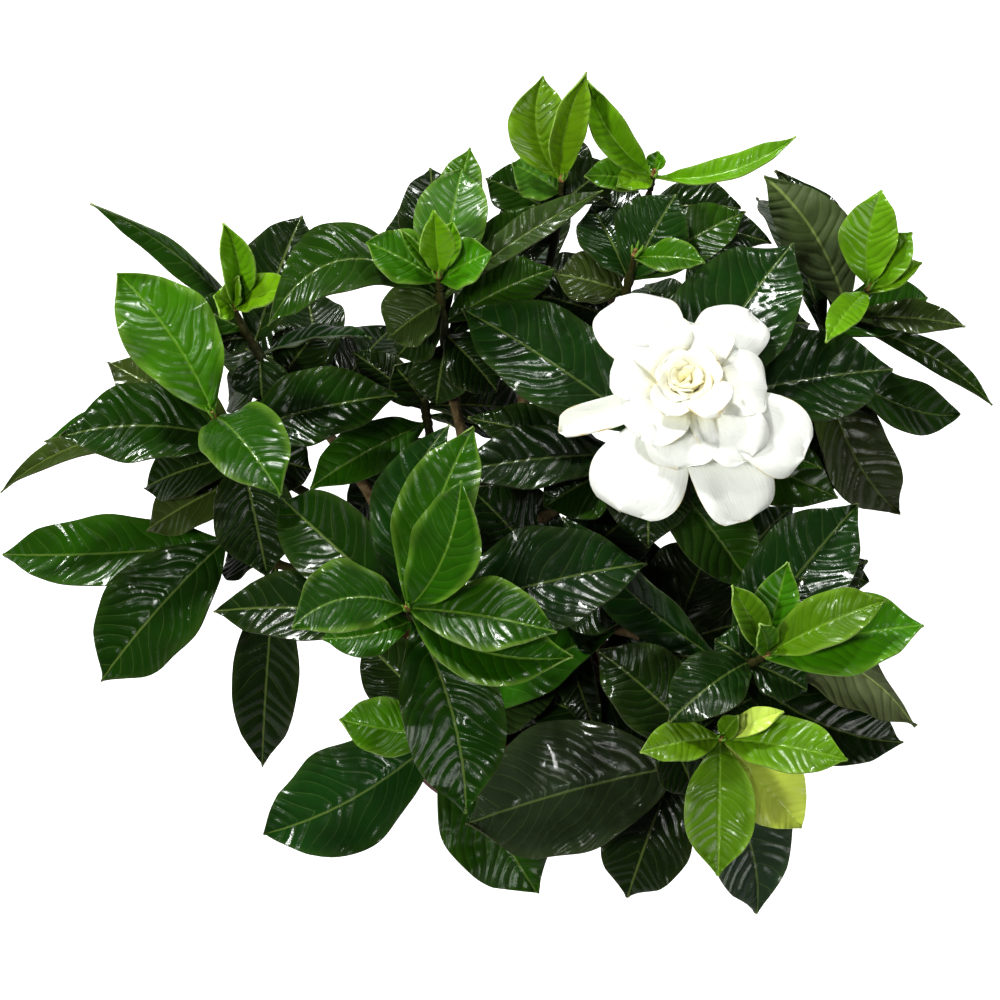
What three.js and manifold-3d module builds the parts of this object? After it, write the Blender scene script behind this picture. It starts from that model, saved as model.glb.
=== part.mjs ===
// A potted gardenia: a round plastic pot full of soil, woody stems that stand in it, leafy stems with
// broad pointed leaves, lighter young shoots on top of them, and one open double bloom.
// Lengths are millimetres, +Z is up, and the origin is the middle of the pot's underside.

import * as THREE from 'three';
import { mergeVertices } from 'three/addons/utils/BufferGeometryUtils.js';
import Module from 'manifold-3d';

const wasm = await Module();
wasm.setup();

// ---------------------------------------------------------------- driving dimensions

const POT = {
  height: 98,
  footRadius: 40,
  footRing: 7,
  footPad: 9,
  footLift: 2,
  floor: 2.4,
  rimRadius: 51,
  rimBand: 17,
  rimLip: 3.6,
  wall: 2.2,
  sides: 28,
  drainHoles: 6,
  drainRadius: 3.4,
  drainCircle: 24,
};
const SOIL = { belowRim: 10, mound: 6, bump: 1.2, rings: 3, sides: 20 };
const GAP = 0.3;
const STEM = { length: 46, footRadius: 2.1, topRadius: 1.5, sides: 5, steps: 3 };
const CROWN = { length: 10, footRadius: 1.4, topRadius: 0.9 };
const TRUNK = { radius: 4.2, forkRadius: 3.2, twigRadius: 2.2, depth: 42, collar: 12, sides: 5, steps: 2 };
const BLADE = {
  thickness: 0.7, petiole: 1.0, tip: 0.5, droop: 34, fold: 14, wave: 0.03, waves: 1.6, narrow: 14,
};
const MERGE = 0.06;
const CLEAR = { wanted: 1.2, least: 0.35 };
const PETAL = { thickness: 0.8, root: 2.2 };

// The plant is set out as it is seen from in front and above: a picture 1000 units square, whose scale
// is true on the plane through the aim.
const VIEW = { elevation: 64, distance: 1200, aim: [5.5, 22, 189], scale: 0.4, middle: 500 };

// ---------------------------------------------------------------- the plant, stem by stem

// A leaf: where its tip is seen, its width, how steeply it rises from the stem (degrees), and its colour.
// at is its place on the stem, 0 at the foot and 1 at the top.
const leaf = (x, y, width, rise, tone, more = {}) => ({ seen: [x, y], width, rise, tone, ...more });

// A hidden leaf: its compass direction from the stem, its length, width and rise.
const back = (heading, length, width, rise, more = {}) => (
  { heading, length, width, rise, tone: 'dark', ...more });

const LIGHT_TONES = ['fresh', 'bright', 'lime', 'jade'];

const TRUNKS = {
  left: { foot: [-21, 4], fork: [-32, 12, 126] },
  front: { foot: [-4, -21], fork: [-5, -17, 112] },
  right: { foot: [21, -5], fork: [32, -4, 126] },
  rear: { foot: [5, 21], fork: [9, 40, 128] },
};

const SHOOTS = [
  {
    name: 'under_bloom', trunk: 'rear', top: [682, 400, 239], tilt: 46, length: 58,
    leaves: [
      leaf(893, 369, 44, 8, 'deep', { at: 0.9, droop: 24 }),
      leaf(793, 243, 46, 0, 'deep', { at: 0.8 }),
      leaf(462, 309, 42, 8, 'deep', { at: 0.6, droop: 26 }),
      leaf(755, 592, 32, -16, 'mid', { at: 0.5, droop: 30 }),
      leaf(452, 473, 27, 2, 'deep', { at: 0.4 }),
      leaf(545, 507, 33, -8, 'mid', { at: 0.3 }),
      leaf(822, 468, 24, 0, 'mid', { at: 0.75 }),
      leaf(780, 334, 22, 0, 'mid', { at: 0.7 }),
      leaf(838, 498, 34, -10, 'mid', { at: 0.62, droop: 30 }),
      leaf(648, 548, 34, -24, 'dark', { at: 0.55 }),
      leaf(468, 418, 22, -8, 'dark', { at: 0.3 }),
    ],
  },
  {
    name: 'south_west', trunk: 'front', top: [410, 614, 233], tilt: 30,
    leaves: [
      leaf(557, 632, 29, 12, 'bright', { at: 0.8, droop: 30 }),
      leaf(573, 657, 28, 4, 'fresh', { at: 0.3, droop: 26, bend: -0.14 }),
      leaf(461, 480, 27, 40, 'fresh', { at: 0.8, droop: 46, bend: -0.12 }),
      leaf(292, 627, 30, 16, 'bright', { at: 0.7, droop: 40, bend: -0.14 }),
      leaf(474, 427, 29, 24, 'fresh', { at: 0.4, bend: 0.03 }),
      leaf(281, 498, 33, 14, 'mid', { at: 0.97 }),
      leaf(466, 814, 39, -20, 'mid', { at: 0.92, droop: 24, bend: 0.06 }),
      leaf(450, 424, 25, 14, 'deep', { at: 0.9, bend: 0.14 }),
      leaf(647, 563, 42, 4, 'deep', { at: 0.66, droop: 30 }),
      leaf(322, 638, 20, -2, 'green', { at: 0.75, bend: 0.1 }),
      leaf(214, 611, 30, -8, 'dark', { at: 0.4 }),
      leaf(470, 720, 30, -20, 'dark', { at: 0.3 }),
    ],
  },
  {
    name: 'north_west', trunk: 'rear', top: [440, 290, 243], tilt: 26,
    leaves: [
      leaf(434, 211, 16, 62, 'bright', { at: 0.95, fold: 36, droop: 16 }),
      leaf(453, 222, 15, 60, 'bright', { at: 0.85, fold: 36, droop: 16 }),
      leaf(400, 229, 11, 40, 'fresh', { at: 0.8, fold: 30 }),
      leaf(366, 242, 23, 20, 'fresh', { at: 0.5 }),
      leaf(491, 252, 22, 34, 'fresh', { at: 0.5 }),
      leaf(462, 168, 29, 34, 'jade', { at: 0.3, droop: 30 }),
      leaf(470, 147, 20, 10, 'fresh', { at: 0.1 }),
      leaf(430, 167, 28, 4, 'dark', { at: 0.86 }),
      leaf(535, 205, 16, 4, 'mid', { at: 0.86, fold: 34 }),
      leaf(388, 339, 28, -16, 'dull', { at: 0.86, fold: 24, droop: 40 }),
      leaf(268, 326, 32, 6, 'mid', { at: 0.9, droop: 50, bend: -0.28 }),
      leaf(603, 190, 24, 4, 'dull', { at: 0.9, fold: 24 }),
      leaf(556, 268, 24, 0, 'mid', { at: 0.6 }),
      leaf(548, 248, 24, -8, 'deep', { at: 0.4 }),
      leaf(400, 210, 26, -8, 'dark', { at: 0.5 }),
      leaf(497, 392, 26, -20, 'dark', { at: 0.5 }),
      leaf(436, 404, 24, -34, 'dark', { at: 0.4 }),
      leaf(398, 356, 24, -30, 'dark', { at: 0.7 }),
    ],
  },
  {
    name: 'west', trunk: 'left', top: [222, 428, 199], tilt: 52,
    leaves: [
      leaf(117, 273, 37, 24, 'fresh', { at: 0.8, bend: -0.04 }),
      leaf(281, 495, 33, 22, 'fresh', { at: 0.7, droop: 70 }),
      leaf(60, 437, 35, 8, 'mid', { at: 0.8, droop: 26, bend: -0.06 }),
      leaf(397, 395, 33, 8, 'mid', { at: 0.88 }),
      leaf(108, 362, 28, 4, 'dull', { at: 0.66 }),
      leaf(44, 441, 22, -16, 'green', { at: 0.6, bend: -0.06 }),
      leaf(0, 492, 16, -12, 'dull', { at: 0.7, fold: 24, bend: -0.12 }),
      leaf(145, 488, 28, -10, 'dark', { at: 0.62 }),
      leaf(267, 575, 34, -28, 'dark', { at: 0.7 }),
      leaf(146, 531, 26, -24, 'dull', { at: 0.4 }),
      leaf(312, 470, 26, -16, 'dark', { at: 0.55 }),
    ],
  },
  {
    name: 'north', trunk: 'rear', top: [560, 196, 231], tilt: 52,
    leaves: [
      leaf(543, 76, 24, 38, 'bright', { at: 0.8, bend: 0.16 }),
      leaf(587, 72, 17, 44, 'bright', { at: 0.6, fold: 34, roll: 30, bend: 0.1 }),
      leaf(512, 164, 25, 24, 'jade', { at: 0.15 }),
      leaf(486, 178, 26, 14, 'mid', { at: 0.8 }),
      leaf(612, 166, 22, 16, 'dark', { at: 0.9 }),
      leaf(500, 240, 28, -4, 'dark', { at: 0.6 }),
      leaf(566, 130, 26, 6, 'dark', { at: 0.7 }),
    ],
  },
  {
    name: 'north_east', trunk: 'rear', top: [650, 190, 225], tilt: 54,
    leaves: [
      leaf(587, 80, 19, 42, 'bright', { at: 0.8, fold: 44, roll: -24, bend: 0.1 }),
      leaf(796, 136, 13, 18, 'bright', { at: 0.7, fold: 30, droop: -10, bend: -0.11 }),
      leaf(617, 186, 13, 40, 'bright', { at: 0.6 }),
      leaf(584, 176, 16, 20, 'fresh', { at: 0.3 }),
      leaf(658, 151, 8, 50, 'fresh', { at: 0.95 }),
      leaf(741, 208, 22, 4, 'dark', { at: 0.8 }),
      leaf(772, 243, 20, 0, 'dark', { at: 0.7 }),
      leaf(598, 196, 24, -8, 'dark', { at: 0.6 }),
    ],
  },
  {
    name: 'middle', trunk: 'rear', top: [632, 268, 237], tilt: 30,
    leaves: [
      leaf(676, 194, 31, 30, 'deep', { at: 0.86, droop: 26 }),
      leaf(745, 212, 25, 10, 'mid', { at: 0.84 }),
      leaf(592, 207, 26, 22, 'deep', { at: 0.85 }),
      leaf(705, 262, 15, 20, 'fresh', { at: 0.6 }),
      leaf(554, 274, 24, 8, 'dull', { at: 0.7 }),
      leaf(520, 292, 28, -6, 'dark', { at: 0.4 }),
      leaf(700, 330, 30, -14, 'dark', { at: 0.3 }),
    ],
  },
  {
    name: 'young_west', trunk: 'left', top: [240, 322, 221], tilt: 44,
    leaves: [
      leaf(223, 223, 19, 50, 'bright', { at: 0.9, fold: 48, bend: -0.12 }),
      leaf(294, 286, 17, 44, 'bright', { at: 0.8, fold: 26 }),
      leaf(214, 296, 16, 52, 'bright', { at: 0.6 }),
      leaf(238, 276, 11, 66, 'bright', { at: 0.95, fold: 40 }),
      leaf(302, 215, 30, 16, 'dark', { at: 0.7 }),
      leaf(90, 205, 15, 12, 'mid', { at: 0.5, roll: -64, fold: 24, droop: -58 }),
      leaf(190, 306, 18, 14, 'mid', { at: 0.9 }),
      leaf(372, 337, 20, 4, 'deep', { at: 0.6, roll: -44 }),
      leaf(220, 342, 16, 10, 'dark', { at: 0.8 }),
      leaf(318, 332, 24, 0, 'dark', { at: 0.3 }),
      leaf(262, 400, 24, -30, 'dark', { at: 0.6 }),
      leaf(228, 402, 24, -22, 'dark', { at: 0.4 }),
    ],
  },
  {
    name: 'south_east', trunk: 'right', top: [758, 660, 219], tilt: 50,
    leaves: [
      leaf(886, 600, 23, 24, 'bright', { at: 0.85, fold: 24 }),
      leaf(732, 585, 15, 40, 'bright', { at: 0.8, fold: 34 }),
      leaf(924, 625, 33, 12, 'fresh', { at: 0.3 }),
      leaf(760, 624, 11, 60, 'fresh', { at: 0.95 }),
      leaf(788, 562, 17, 44, 'fresh', { at: 0.4, droop: 20 }),
      leaf(715, 640, 20, 12, 'deep', { at: 0.86 }),
      leaf(803, 577, 30, 34, 'deep', { at: 0.78, fold: 30, droop: 60 }),
      leaf(807, 690, 22, -4, 'deep', { at: 0.84 }),
      leaf(669, 722, 26, 8, 'deep', { at: 0.85, droop: 60 }),
      leaf(914, 728, 32, -2, 'dull', { at: 0.8, roll: 158, droop: -30, bend: -0.2 }),
      leaf(904, 742, 32, -14, 'dark', { at: 0.6, bend: -0.13 }),
      leaf(857, 505, 38, 12, 'deep', { at: 0.6 }),
      leaf(562, 517, 26, 14, 'deep', { at: 0.5, roll: -56 }),
      leaf(631, 655, 30, 4, 'dark', { at: 0.4 }),
      leaf(868, 560, 24, -6, 'dark', { at: 0.4 }),
    ],
  },
  {
    name: 'east', trunk: 'right', top: [860, 302, 211], tilt: 56,
    leaves: [
      leaf(882, 190, 23, 44, 'bright', { at: 0.9, bend: 0.08 }),
      leaf(912, 232, 18, 38, 'bright', { at: 0.7 }),
      leaf(922, 262, 12, 34, 'bright', { at: 0.5 }),
      leaf(928, 297, 27, 10, 'green', { at: 0.6, droop: 54 }),
      leaf(826, 342, 13, 30, 'bright', { at: 0.6 }),
      leaf(765, 177, 28, 20, 'dull', { at: 0.8, roll: 150, droop: -30, bend: 0.1 }),
      leaf(775, 171, 22, 4, 'dark', { at: 0.66, bend: -0.1 }),
      leaf(798, 257, 17, 0, 'green', { at: 0.72, roll: 56 }),
      leaf(966, 326, 15, -4, 'dull', { at: 0.8 }),
      leaf(993, 405, 12, -14, 'mid', { at: 0.74, droop: 14, bend: 0.07 }),
      leaf(960, 414, 25, -30, 'mid', { at: 0.4, bend: -0.16 }),
      leaf(899, 513, 32, -40, 'dark', { at: 0.45, bend: -0.12 }),
      leaf(757, 198, 20, 0, 'dark', { at: 0.5 }),
      leaf(832, 494, 18, -34, 'dull', { at: 0.25 }),
    ],
  },
  {
    name: 'south', trunk: 'right', top: [715, 742, 201], tilt: 46,
    leaves: [
      leaf(718, 876, 27, -12, 'bright', { at: 0.7, droop: 24 }),
      leaf(848, 760, 23, 14, 'bright', { at: 0.6 }),
      leaf(802, 828, 28, -8, 'lime', { at: 0.3 }),
      leaf(640, 752, 17, 20, 'bright', { at: 0.8 }),
      leaf(784, 711, 10, 30, 'lime', { at: 0.95 }),
      leaf(738, 716, 9, 60, 'bright', { at: 0.98 }),
      leaf(757, 914, 37, -34, 'dark', { at: 0.4, bend: 0.1 }),
      leaf(597, 650, 34, 16, 'dark', { at: 0.7 }),
      leaf(760, 694, 26, -6, 'dark', { at: 0.5 }),
      leaf(668, 690, 26, 0, 'dark', { at: 0.3 }),
      leaf(696, 796, 24, -30, 'dark', { at: 0.2 }),
    ],
  },
  {
    name: 'low_south', trunk: 'right', top: [690, 765, 161], tilt: 56, length: 40,
    leaves: [
      leaf(467, 824, 56, -6, 'deep', { at: 0.95, droop: 30 }),
      leaf(627, 898, 36, -34, 'dark', { at: 0.7 }),
      leaf(528, 694, 36, 4, 'dark', { at: 0.7 }),
      back(-20, 56, 32, -20, { at: 0.6 }),
    ],
  },
  {
    name: 'low_west', trunk: 'left', top: [226, 536, 157], tilt: 64, length: 52,
    leaves: [
      leaf(101, 681, 43, -20, 'mid', { at: 0.97 }),
      leaf(2, 554, 32, -8, 'mid', { at: 0.9, droop: 26, bend: 0.05 }),
      leaf(262, 766, 28, -46, 'dark', { at: 0.5, droop: 26 }),
      leaf(225, 560, 24, -30, 'dark', { at: 0.6 }),
    ],
  },
  {
    name: 'low_south_west', trunk: 'front', top: [440, 735, 143], tilt: 60, length: 40,
    leaves: [
      leaf(263, 834, 45, -20, 'deep', { at: 0.84, droop: 26, bend: 0.09 }),
      leaf(537, 893, 44, -28, 'mid', { at: 0.8, bend: -0.03 }),
      leaf(339, 719, 25, 10, 'fresh', { at: 0.6, bend: 0.06 }),
      leaf(364, 642, 32, 8, 'dark', { at: 0.7 }),
      leaf(560, 690, 28, 6, 'dull', { at: 0.6 }),
      leaf(618, 628, 28, 14, 'mid', { at: 0.5 }),
    ],
  },
  {
    name: 'inner', trunk: 'left', top: [424, 398, 189], tilt: 20, length: 40,
    leaves: [
      leaf(536, 416, 26, -4, 'dark', { at: 0.86 }),
      leaf(394, 366, 22, 34, 'dark', { at: 0.9 }),
      leaf(352, 352, 17, 10, 'dark', { at: 0.8 }),
      leaf(352, 522, 28, -34, 'dark', { at: 0.4 }),
      leaf(310, 488, 24, -10, 'green', { at: 0.6 }),
      leaf(500, 440, 28, 4, 'dark', { at: 0.7 }),
    ],
  },
  {
    name: 'centre', trunk: 'front', top: [560, 580, 171], tilt: 20, length: 40,
    leaves: [
      leaf(650, 500, 36, 6, 'dark', { at: 0.94 }),
      leaf(676, 560, 30, -16, 'dark', { at: 0.6 }),
      leaf(470, 488, 38, 16, 'dark', { at: 0.86 }),
      leaf(650, 610, 34, 6, 'dark', { at: 0.82 }),
      leaf(600, 740, 36, -6, 'dark', { at: 0.74 }),
      leaf(452, 560, 36, -4, 'dark', { at: 0.66 }),
      leaf(520, 730, 34, -14, 'dark', { at: 0.5 }),
    ],
  },
  {
    name: 'centre_east', trunk: 'right', top: [676, 640, 161], tilt: 30, length: 34,
    leaves: [
      leaf(606, 566, 34, 8, 'dark', { at: 0.94 }),
      leaf(712, 540, 38, 6, 'dark', { at: 0.86 }),
      leaf(792, 506, 32, 0, 'dark', { at: 0.8 }),
      leaf(782, 616, 34, -8, 'dark', { at: 0.74 }),
      leaf(735, 730, 32, -20, 'dark', { at: 0.6 }),
      leaf(620, 720, 34, -24, 'dark', { at: 0.46 }),
      leaf(604, 650, 32, -18, 'dark', { at: 0.5 }),
    ],
  },
  {
    name: 'back_left', trunk: 'left', top: [320, 372, 150], tilt: 60,
    leaves: [
      back(100, 46, 28, -10, { at: 0.97 }),
      back(150, 56, 30, -16, { at: 0.9 }),
      back(205, 56, 28, -26, { at: 0.75 }),
      back(62, 54, 30, -20, { at: 0.7 }),
      back(125, 58, 32, -38, { at: 0.5 }),
    ],
  },
  {
    name: 'back_middle', trunk: 'rear', top: [520, 290, 145], tilt: 62,
    leaves: [
      back(80, 60, 32, -10, { at: 0.97 }),
      back(140, 58, 30, -16, { at: 0.88 }),
      back(35, 58, 30, -20, { at: 0.78 }),
      back(110, 64, 34, -40, { at: 0.6 }),
      back(60, 60, 32, -44, { at: 0.45 }),
    ],
  },
  {
    name: 'back_right', trunk: 'rear', top: [700, 330, 153], tilt: 62,
    leaves: [
      back(70, 56, 30, -8, { at: 0.97 }),
      back(20, 58, 30, -18, { at: 0.88 }),
      back(110, 54, 28, -24, { at: 0.76 }),
      back(48, 60, 34, -38, { at: 0.6 }),
      back(-8, 54, 30, -34, { at: 0.45 }),
    ],
  },
  {
    name: 'low_east', trunk: 'right', top: [760, 560, 143], tilt: 62,
    leaves: [
      back(-2, 50, 30, -16, { at: 0.97 }),
      back(-50, 56, 32, -24, { at: 0.86 }),
      back(40, 50, 28, -26, { at: 0.74 }),
      back(-20, 56, 32, -48, { at: 0.5 }),
    ],
  },
];

// The bloom: the mouth of its tube, the way it faces, and its whorls of petals from the outside in.
// A petal's row: where its tip is seen, its width, and how steeply it rises from the bloom's heart.
const BLOOM = {
  mouth: [686, 392, 253],
  tube: 14,
  seat: 0.8,
  tubeRadius: 4.2,
  sepals: 6,
  sepalLength: 17,
};
const petal = (x, y, width, rise, more = {}) => ({ seen: [x, y], width, rise, ...more });
const PETALS = [
  petal(618, 294, 33, -2, { droop: 24, fold: -6 }),
  petal(750, 307, 29, 2, { droop: 34, fold: -8 }),
  petal(806, 456, 31, -6, { droop: 30, fold: 10 }),
  petal(750, 519, 32, -14, { droop: 24 }),
  petal(620, 509, 36, -8, { droop: 26, fold: -6 }),
  petal(559, 430, 18, -12, { droop: -16, fold: 40 }),
  petal(611, 370, 25, 14, { droop: 40 }),
  petal(650, 326, 26, 20, { droop: 40 }),
  petal(702, 322, 28, 16, { droop: 44 }),
  petal(768, 386, 30, 8, { droop: 44 }),
  petal(752, 457, 28, 4, { droop: 46 }),
  petal(680, 465, 28, 6, { droop: 44 }),
  petal(640, 436, 26, 14, { droop: 44 }),
  petal(664, 362, 20, 40, { droop: 50, fold: 20 }),
  petal(716, 360, 20, 42, { droop: 50, fold: 20 }),
  petal(720, 408, 20, 40, { droop: 50, fold: 20 }),
  petal(666, 410, 20, 42, { droop: 50, fold: 20 }),
  petal(676, 382, 12, 66, { droop: 30, fold: 34 }),
  petal(700, 378, 12, 64, { droop: 30, fold: 34 }),
  petal(690, 400, 12, 66, { droop: 30, fold: 34 }),
];

// ---------------------------------------------------------------- solids

const rad = THREE.MathUtils.degToRad;
const clamp = THREE.MathUtils.clamp;
const UP = new THREE.Vector3(0, 0, 1);

// A closed geometry as a solid: its points are merged and its empty faces dropped.
function solid(geometry) {
  const bare = geometry.clone();
  bare.deleteAttribute('normal');
  bare.deleteAttribute('uv');
  const merged = mergeVertices(bare, 1e-3);
  const index = merged.index.array;
  const kept = [];
  for (let i = 0; i < index.length; i += 3) {
    const [a, b, c] = [index[i], index[i + 1], index[i + 2]];
    if (a !== b && b !== c && c !== a) kept.push(a, b, c);
  }
  return new wasm.Manifold(new wasm.Mesh({
    numProp: 3,
    vertProperties: merged.attributes.position.array,
    triVerts: new Uint32Array(kept),
  }));
}

// Several solids as one. Hollows that the joining sealed are filled, and loose scraps are left off.
function fused(solids) {
  const joined = wasm.Manifold.union(solids).simplify(MERGE);
  const bodies = joined.decompose().filter((body) => body.volume() > 0);
  return bodies.sort((a, b) => b.volume() - a.volume())[0];
}

function meshOf(body, name, material) {
  const { vertProperties, triVerts } = body.getMesh();
  const geometry = new THREE.BufferGeometry();
  geometry.setAttribute('position', new THREE.BufferAttribute(new Float32Array(vertProperties), 3));
  geometry.setIndex(new THREE.BufferAttribute(new Uint32Array(triVerts), 1));
  const mesh = new THREE.Mesh(geometry, material);
  mesh.name = name;
  return mesh;
}

// A profile of [radius, height] points turned about the upright axis.
function turned(profile, sides) {
  const points = profile.map(([radius, height]) => new THREE.Vector2(radius, height));
  return new THREE.LatheGeometry(points, sides).rotateX(Math.PI / 2);
}

// A place on a stem that is made of straight lengths between its rings.
function onStem(curve, steps, share) {
  const ring = Math.min(Math.floor(share * steps), steps - 1);
  return curve.getPointAt(ring / steps).lerp(curve.getPointAt((ring + 1) / steps), share * steps - ring);
}

// A round stem that follows a curve and tapers: a cylinder's rings are moved onto the curve.
function stemGeometry(curve, footRadius, topRadius, sides, steps) {
  const geometry = new THREE.CylinderGeometry(topRadius, footRadius, 1, sides, steps);
  const frames = curve.computeFrenetFrames(steps, false);
  const place = geometry.attributes.position;
  for (let i = 0; i < place.count; i += 1) {
    const along = clamp(place.getY(i) + 0.5, 0, 1);
    const ring = Math.round(along * steps);
    const point = curve.getPointAt(along)
      .addScaledVector(frames.normals[ring], place.getX(i))
      .addScaledVector(frames.binormals[ring], -place.getZ(i));
    place.setXYZ(i, point.x, point.y, point.z);
  }
  return geometry;
}

// ---------------------------------------------------------------- the view

const lookUp = rad(VIEW.elevation);
const toViewer = new THREE.Vector3(0, -Math.cos(lookUp), Math.sin(lookUp));
const pictureUp = new THREE.Vector3(0, Math.sin(lookUp), Math.cos(lookUp));
const aim = new THREE.Vector3(...VIEW.aim);
const eye = aim.clone().addScaledVector(toViewer, VIEW.distance);

// The direction from the eye to what is seen at a point of the picture.
function sightLine([x, y]) {
  return aim.clone()
    .addScaledVector(new THREE.Vector3(1, 0, 0), (x - VIEW.middle) * VIEW.scale)
    .addScaledVector(pictureUp, (VIEW.middle - y) * VIEW.scale)
    .sub(eye)
    .normalize();
}

// The point at a height that is seen at a point of the picture.
function seenAt([x, y, height]) {
  const line = sightLine([x, y]);
  return eye.clone().addScaledVector(line, (height - eye.z) / line.z);
}

// The tip that is seen at a point of the picture, for a blade that leaves base at a slope of rise degrees.
function tipOnSight(base, seen, rise) {
  const line = sightLine(seen);
  const nearest = eye.clone().addScaledVector(line, base.clone().sub(eye).dot(line));
  const across = nearest.clone().sub(base);
  const reach = across.length();
  const slope = across.z / reach;
  const depth = -line.z;
  const sine = clamp(Math.sin(rad(rise)) / Math.hypot(depth, slope), -0.98, 0.98);
  const lean = clamp(Math.asin(sine) - Math.atan2(slope, depth), -1.1, 1.1);
  return nearest.addScaledVector(line, -reach * Math.tan(lean));
}

// ---------------------------------------------------------------- leaves and petals

// A blade's outline: half its width at t, from 0 at the stem to 1 at the tip.
const LEAF_OUTLINE = { rising: 0.98, falling: 0.82 };
const PETAL_OUTLINE = { rising: 0.7, falling: 0.3 };

function halfWidth(t, width, outline, root) {
  const { rising, falling } = outline;
  const widest = rising / (rising + falling);
  const most = widest ** rising * (1 - widest) ** falling;
  const half = (width / 2) * t ** rising * (1 - t) ** falling / most;
  return Math.max(half, t < widest ? root : BLADE.tip);
}

// The surface of a blade as a function of t along it and u across it, from -1 to 1, with its normal.
function bladeSurface(base, tip, spec, outline, root) {
  const chord = tip.distanceTo(base);
  const forward = tip.clone().sub(base).divideScalar(chord);
  const normal = UP.clone().addScaledVector(forward, -UP.dot(forward)).normalize()
    .applyAxisAngle(forward, rad(spec.roll ?? 0));
  const side = normal.clone().cross(forward);
  const droop = rad(spec.droop ?? BLADE.droop);
  const fold = rad(spec.fold ?? BLADE.fold);
  const radius = chord / (2 * Math.sin(droop / 2));
  const phase = (spec.width * 7 + chord) % (2 * Math.PI);
  return (t, u) => {
    const turn = droop / 2 - droop * t;
    const half = halfWidth(t, spec.width, outline, root);
    const ahead = radius * (Math.sin(droop / 2) - Math.sin(turn));
    const above = radius * (Math.cos(turn) - Math.cos(droop / 2));
    const facing = normal.clone().multiplyScalar(Math.cos(turn))
      .addScaledVector(forward, -Math.sin(turn));
    const ripple = BLADE.wave * spec.width * Math.sin(2 * Math.PI * BLADE.waves * t + phase + u);
    const spread = Math.min(1, 6 * t);
    const lift = (Math.abs(u) * half * Math.sin(fold) + ripple * u * u) * spread;
    const sideways = (spec.bend ?? 0) * chord * 4 * t * (1 - t);
    const point = base.clone()
      .addScaledVector(forward, ahead)
      .addScaledVector(side, sideways)
      .addScaledVector(normal, above)
      .addScaledVector(side, u * half * Math.cos(fold))
      .addScaledVector(facing, lift);
    return { point, facing };
  };
}

// A closed thin blade: a ring of points at each station, with both faces split alike.
function bladeGeometry(surface, stations, across, thickness) {
  const points = [];
  const rings = stations.map((t) => {
    const top = across.map((u) => surface(t, u));
    const under = [...top].reverse();
    const offsets = [
      ...top.map(({ point, facing }) => point.clone().addScaledVector(facing, thickness / 2)),
      ...under.map(({ point, facing }) => point.clone().addScaledVector(facing, -thickness / 2)),
    ];
    const first = points.length;
    points.push(...offsets);
    return offsets.map((_, i) => first + i);
  });
  const faces = [];
  const round = rings[0].length;
  const width = across.length;
  for (let s = 0; s + 1 < rings.length; s += 1) {
    for (let i = 0; i < round; i += 1) {
      const [a, b] = [rings[s][i], rings[s][(i + 1) % round]];
      const [c, d] = [rings[s + 1][(i + 1) % round], rings[s + 1][i]];
      if (i < width) faces.push(a, c, b, a, d, c);
      else faces.push(a, d, b, b, d, c);
    }
  }
  const [first, last] = [rings[0], rings[rings.length - 1]];
  for (let i = 0; i + 1 < width; i += 1) {
    const [j, k] = [round - 1 - i, round - 2 - i];
    faces.push(first[i], first[i + 1], first[k], first[i], first[k], first[j]);
    faces.push(last[i], last[k], last[i + 1], last[i], last[j], last[k]);
  }
  const geometry = new THREE.BufferGeometry();
  const places = points.flatMap((point) => point.toArray());
  geometry.setAttribute('position', new THREE.Float32BufferAttribute(places, 3));
  geometry.setIndex(faces);
  return geometry;
}

// Where a blade's rings stand along it, and how much fuller it is drawn for its straight edges between them.
const LONG_BLADE = { least: 66, stations: [0, 0.16, 0.46, 0.8, 1], fuller: 1.05 };
const SHORT_BLADE = { stations: [0, 0.26, 0.72, 1], fuller: 1.12 };
const ROOT_END = 0.22;

function leafBlade(base, spec) {
  const tip = spec.seen ? tipOnSight(base, spec.seen, spec.rise) : tipByHeading(base, spec);
  const length = tip.distanceTo(base);
  const plain = spec.heading !== undefined || spec.width < BLADE.narrow;
  const { stations, fuller } = length > LONG_BLADE.least && !plain ? LONG_BLADE : SHORT_BLADE;
  const across = plain ? [-1, 1] : [-1, 0, 1];
  const full = { ...spec, width: spec.width * fuller };
  const surface = bladeSurface(base, tip, full, LEAF_OUTLINE, BLADE.petiole);
  const thickness = BLADE.thickness / Math.cos(rad(spec.fold ?? BLADE.fold));
  const whole = solid(bladeGeometry(surface, stations, across, thickness));
  const outer = stations.filter((t) => t > ROOT_END + 0.05);
  const free = solid(bladeGeometry(surface, [ROOT_END, ...outer], across, thickness));
  return { whole, free, length };
}

function tipByHeading(base, { heading, length, rise }) {
  const direction = new THREE.Vector3(Math.cos(rad(heading)), Math.sin(rad(heading)), 0);
  direction.multiplyScalar(Math.cos(rad(rise)));
  direction.z = Math.sin(rad(rise));
  return base.clone().addScaledVector(direction, length);
}

// ---------------------------------------------------------------- keeping leaves apart

// What is in place: each solid with the node it belongs to and, for a leaf, its part beyond the root.
const placed = [];

function near(a, b) {
  const [p, q] = [a.boundingBox(), b.boundingBox()];
  return [0, 1, 2].every((i) => (
    p.min[i] - CLEAR.wanted < q.max[i] && q.min[i] - CLEAR.wanted < p.max[i]));
}

// The smallest gap from a leaf to all that is in place. Leaves of one stem touch only at their roots.
function roomRound(blade, node) {
  const room = { own: CLEAR.wanted, other: CLEAR.wanted };
  for (const thing of placed) {
    const same = thing.node === node;
    if (same && !thing.free) continue;
    const [a, b] = same ? [blade.free, thing.free] : [blade.whole, thing.whole];
    if (!near(a, b)) continue;
    const gap = a.minGap(b, CLEAR.wanted);
    const key = same ? 'own' : 'other';
    room[key] = Math.min(room[key], gap);
  }
  return room;
}

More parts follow.
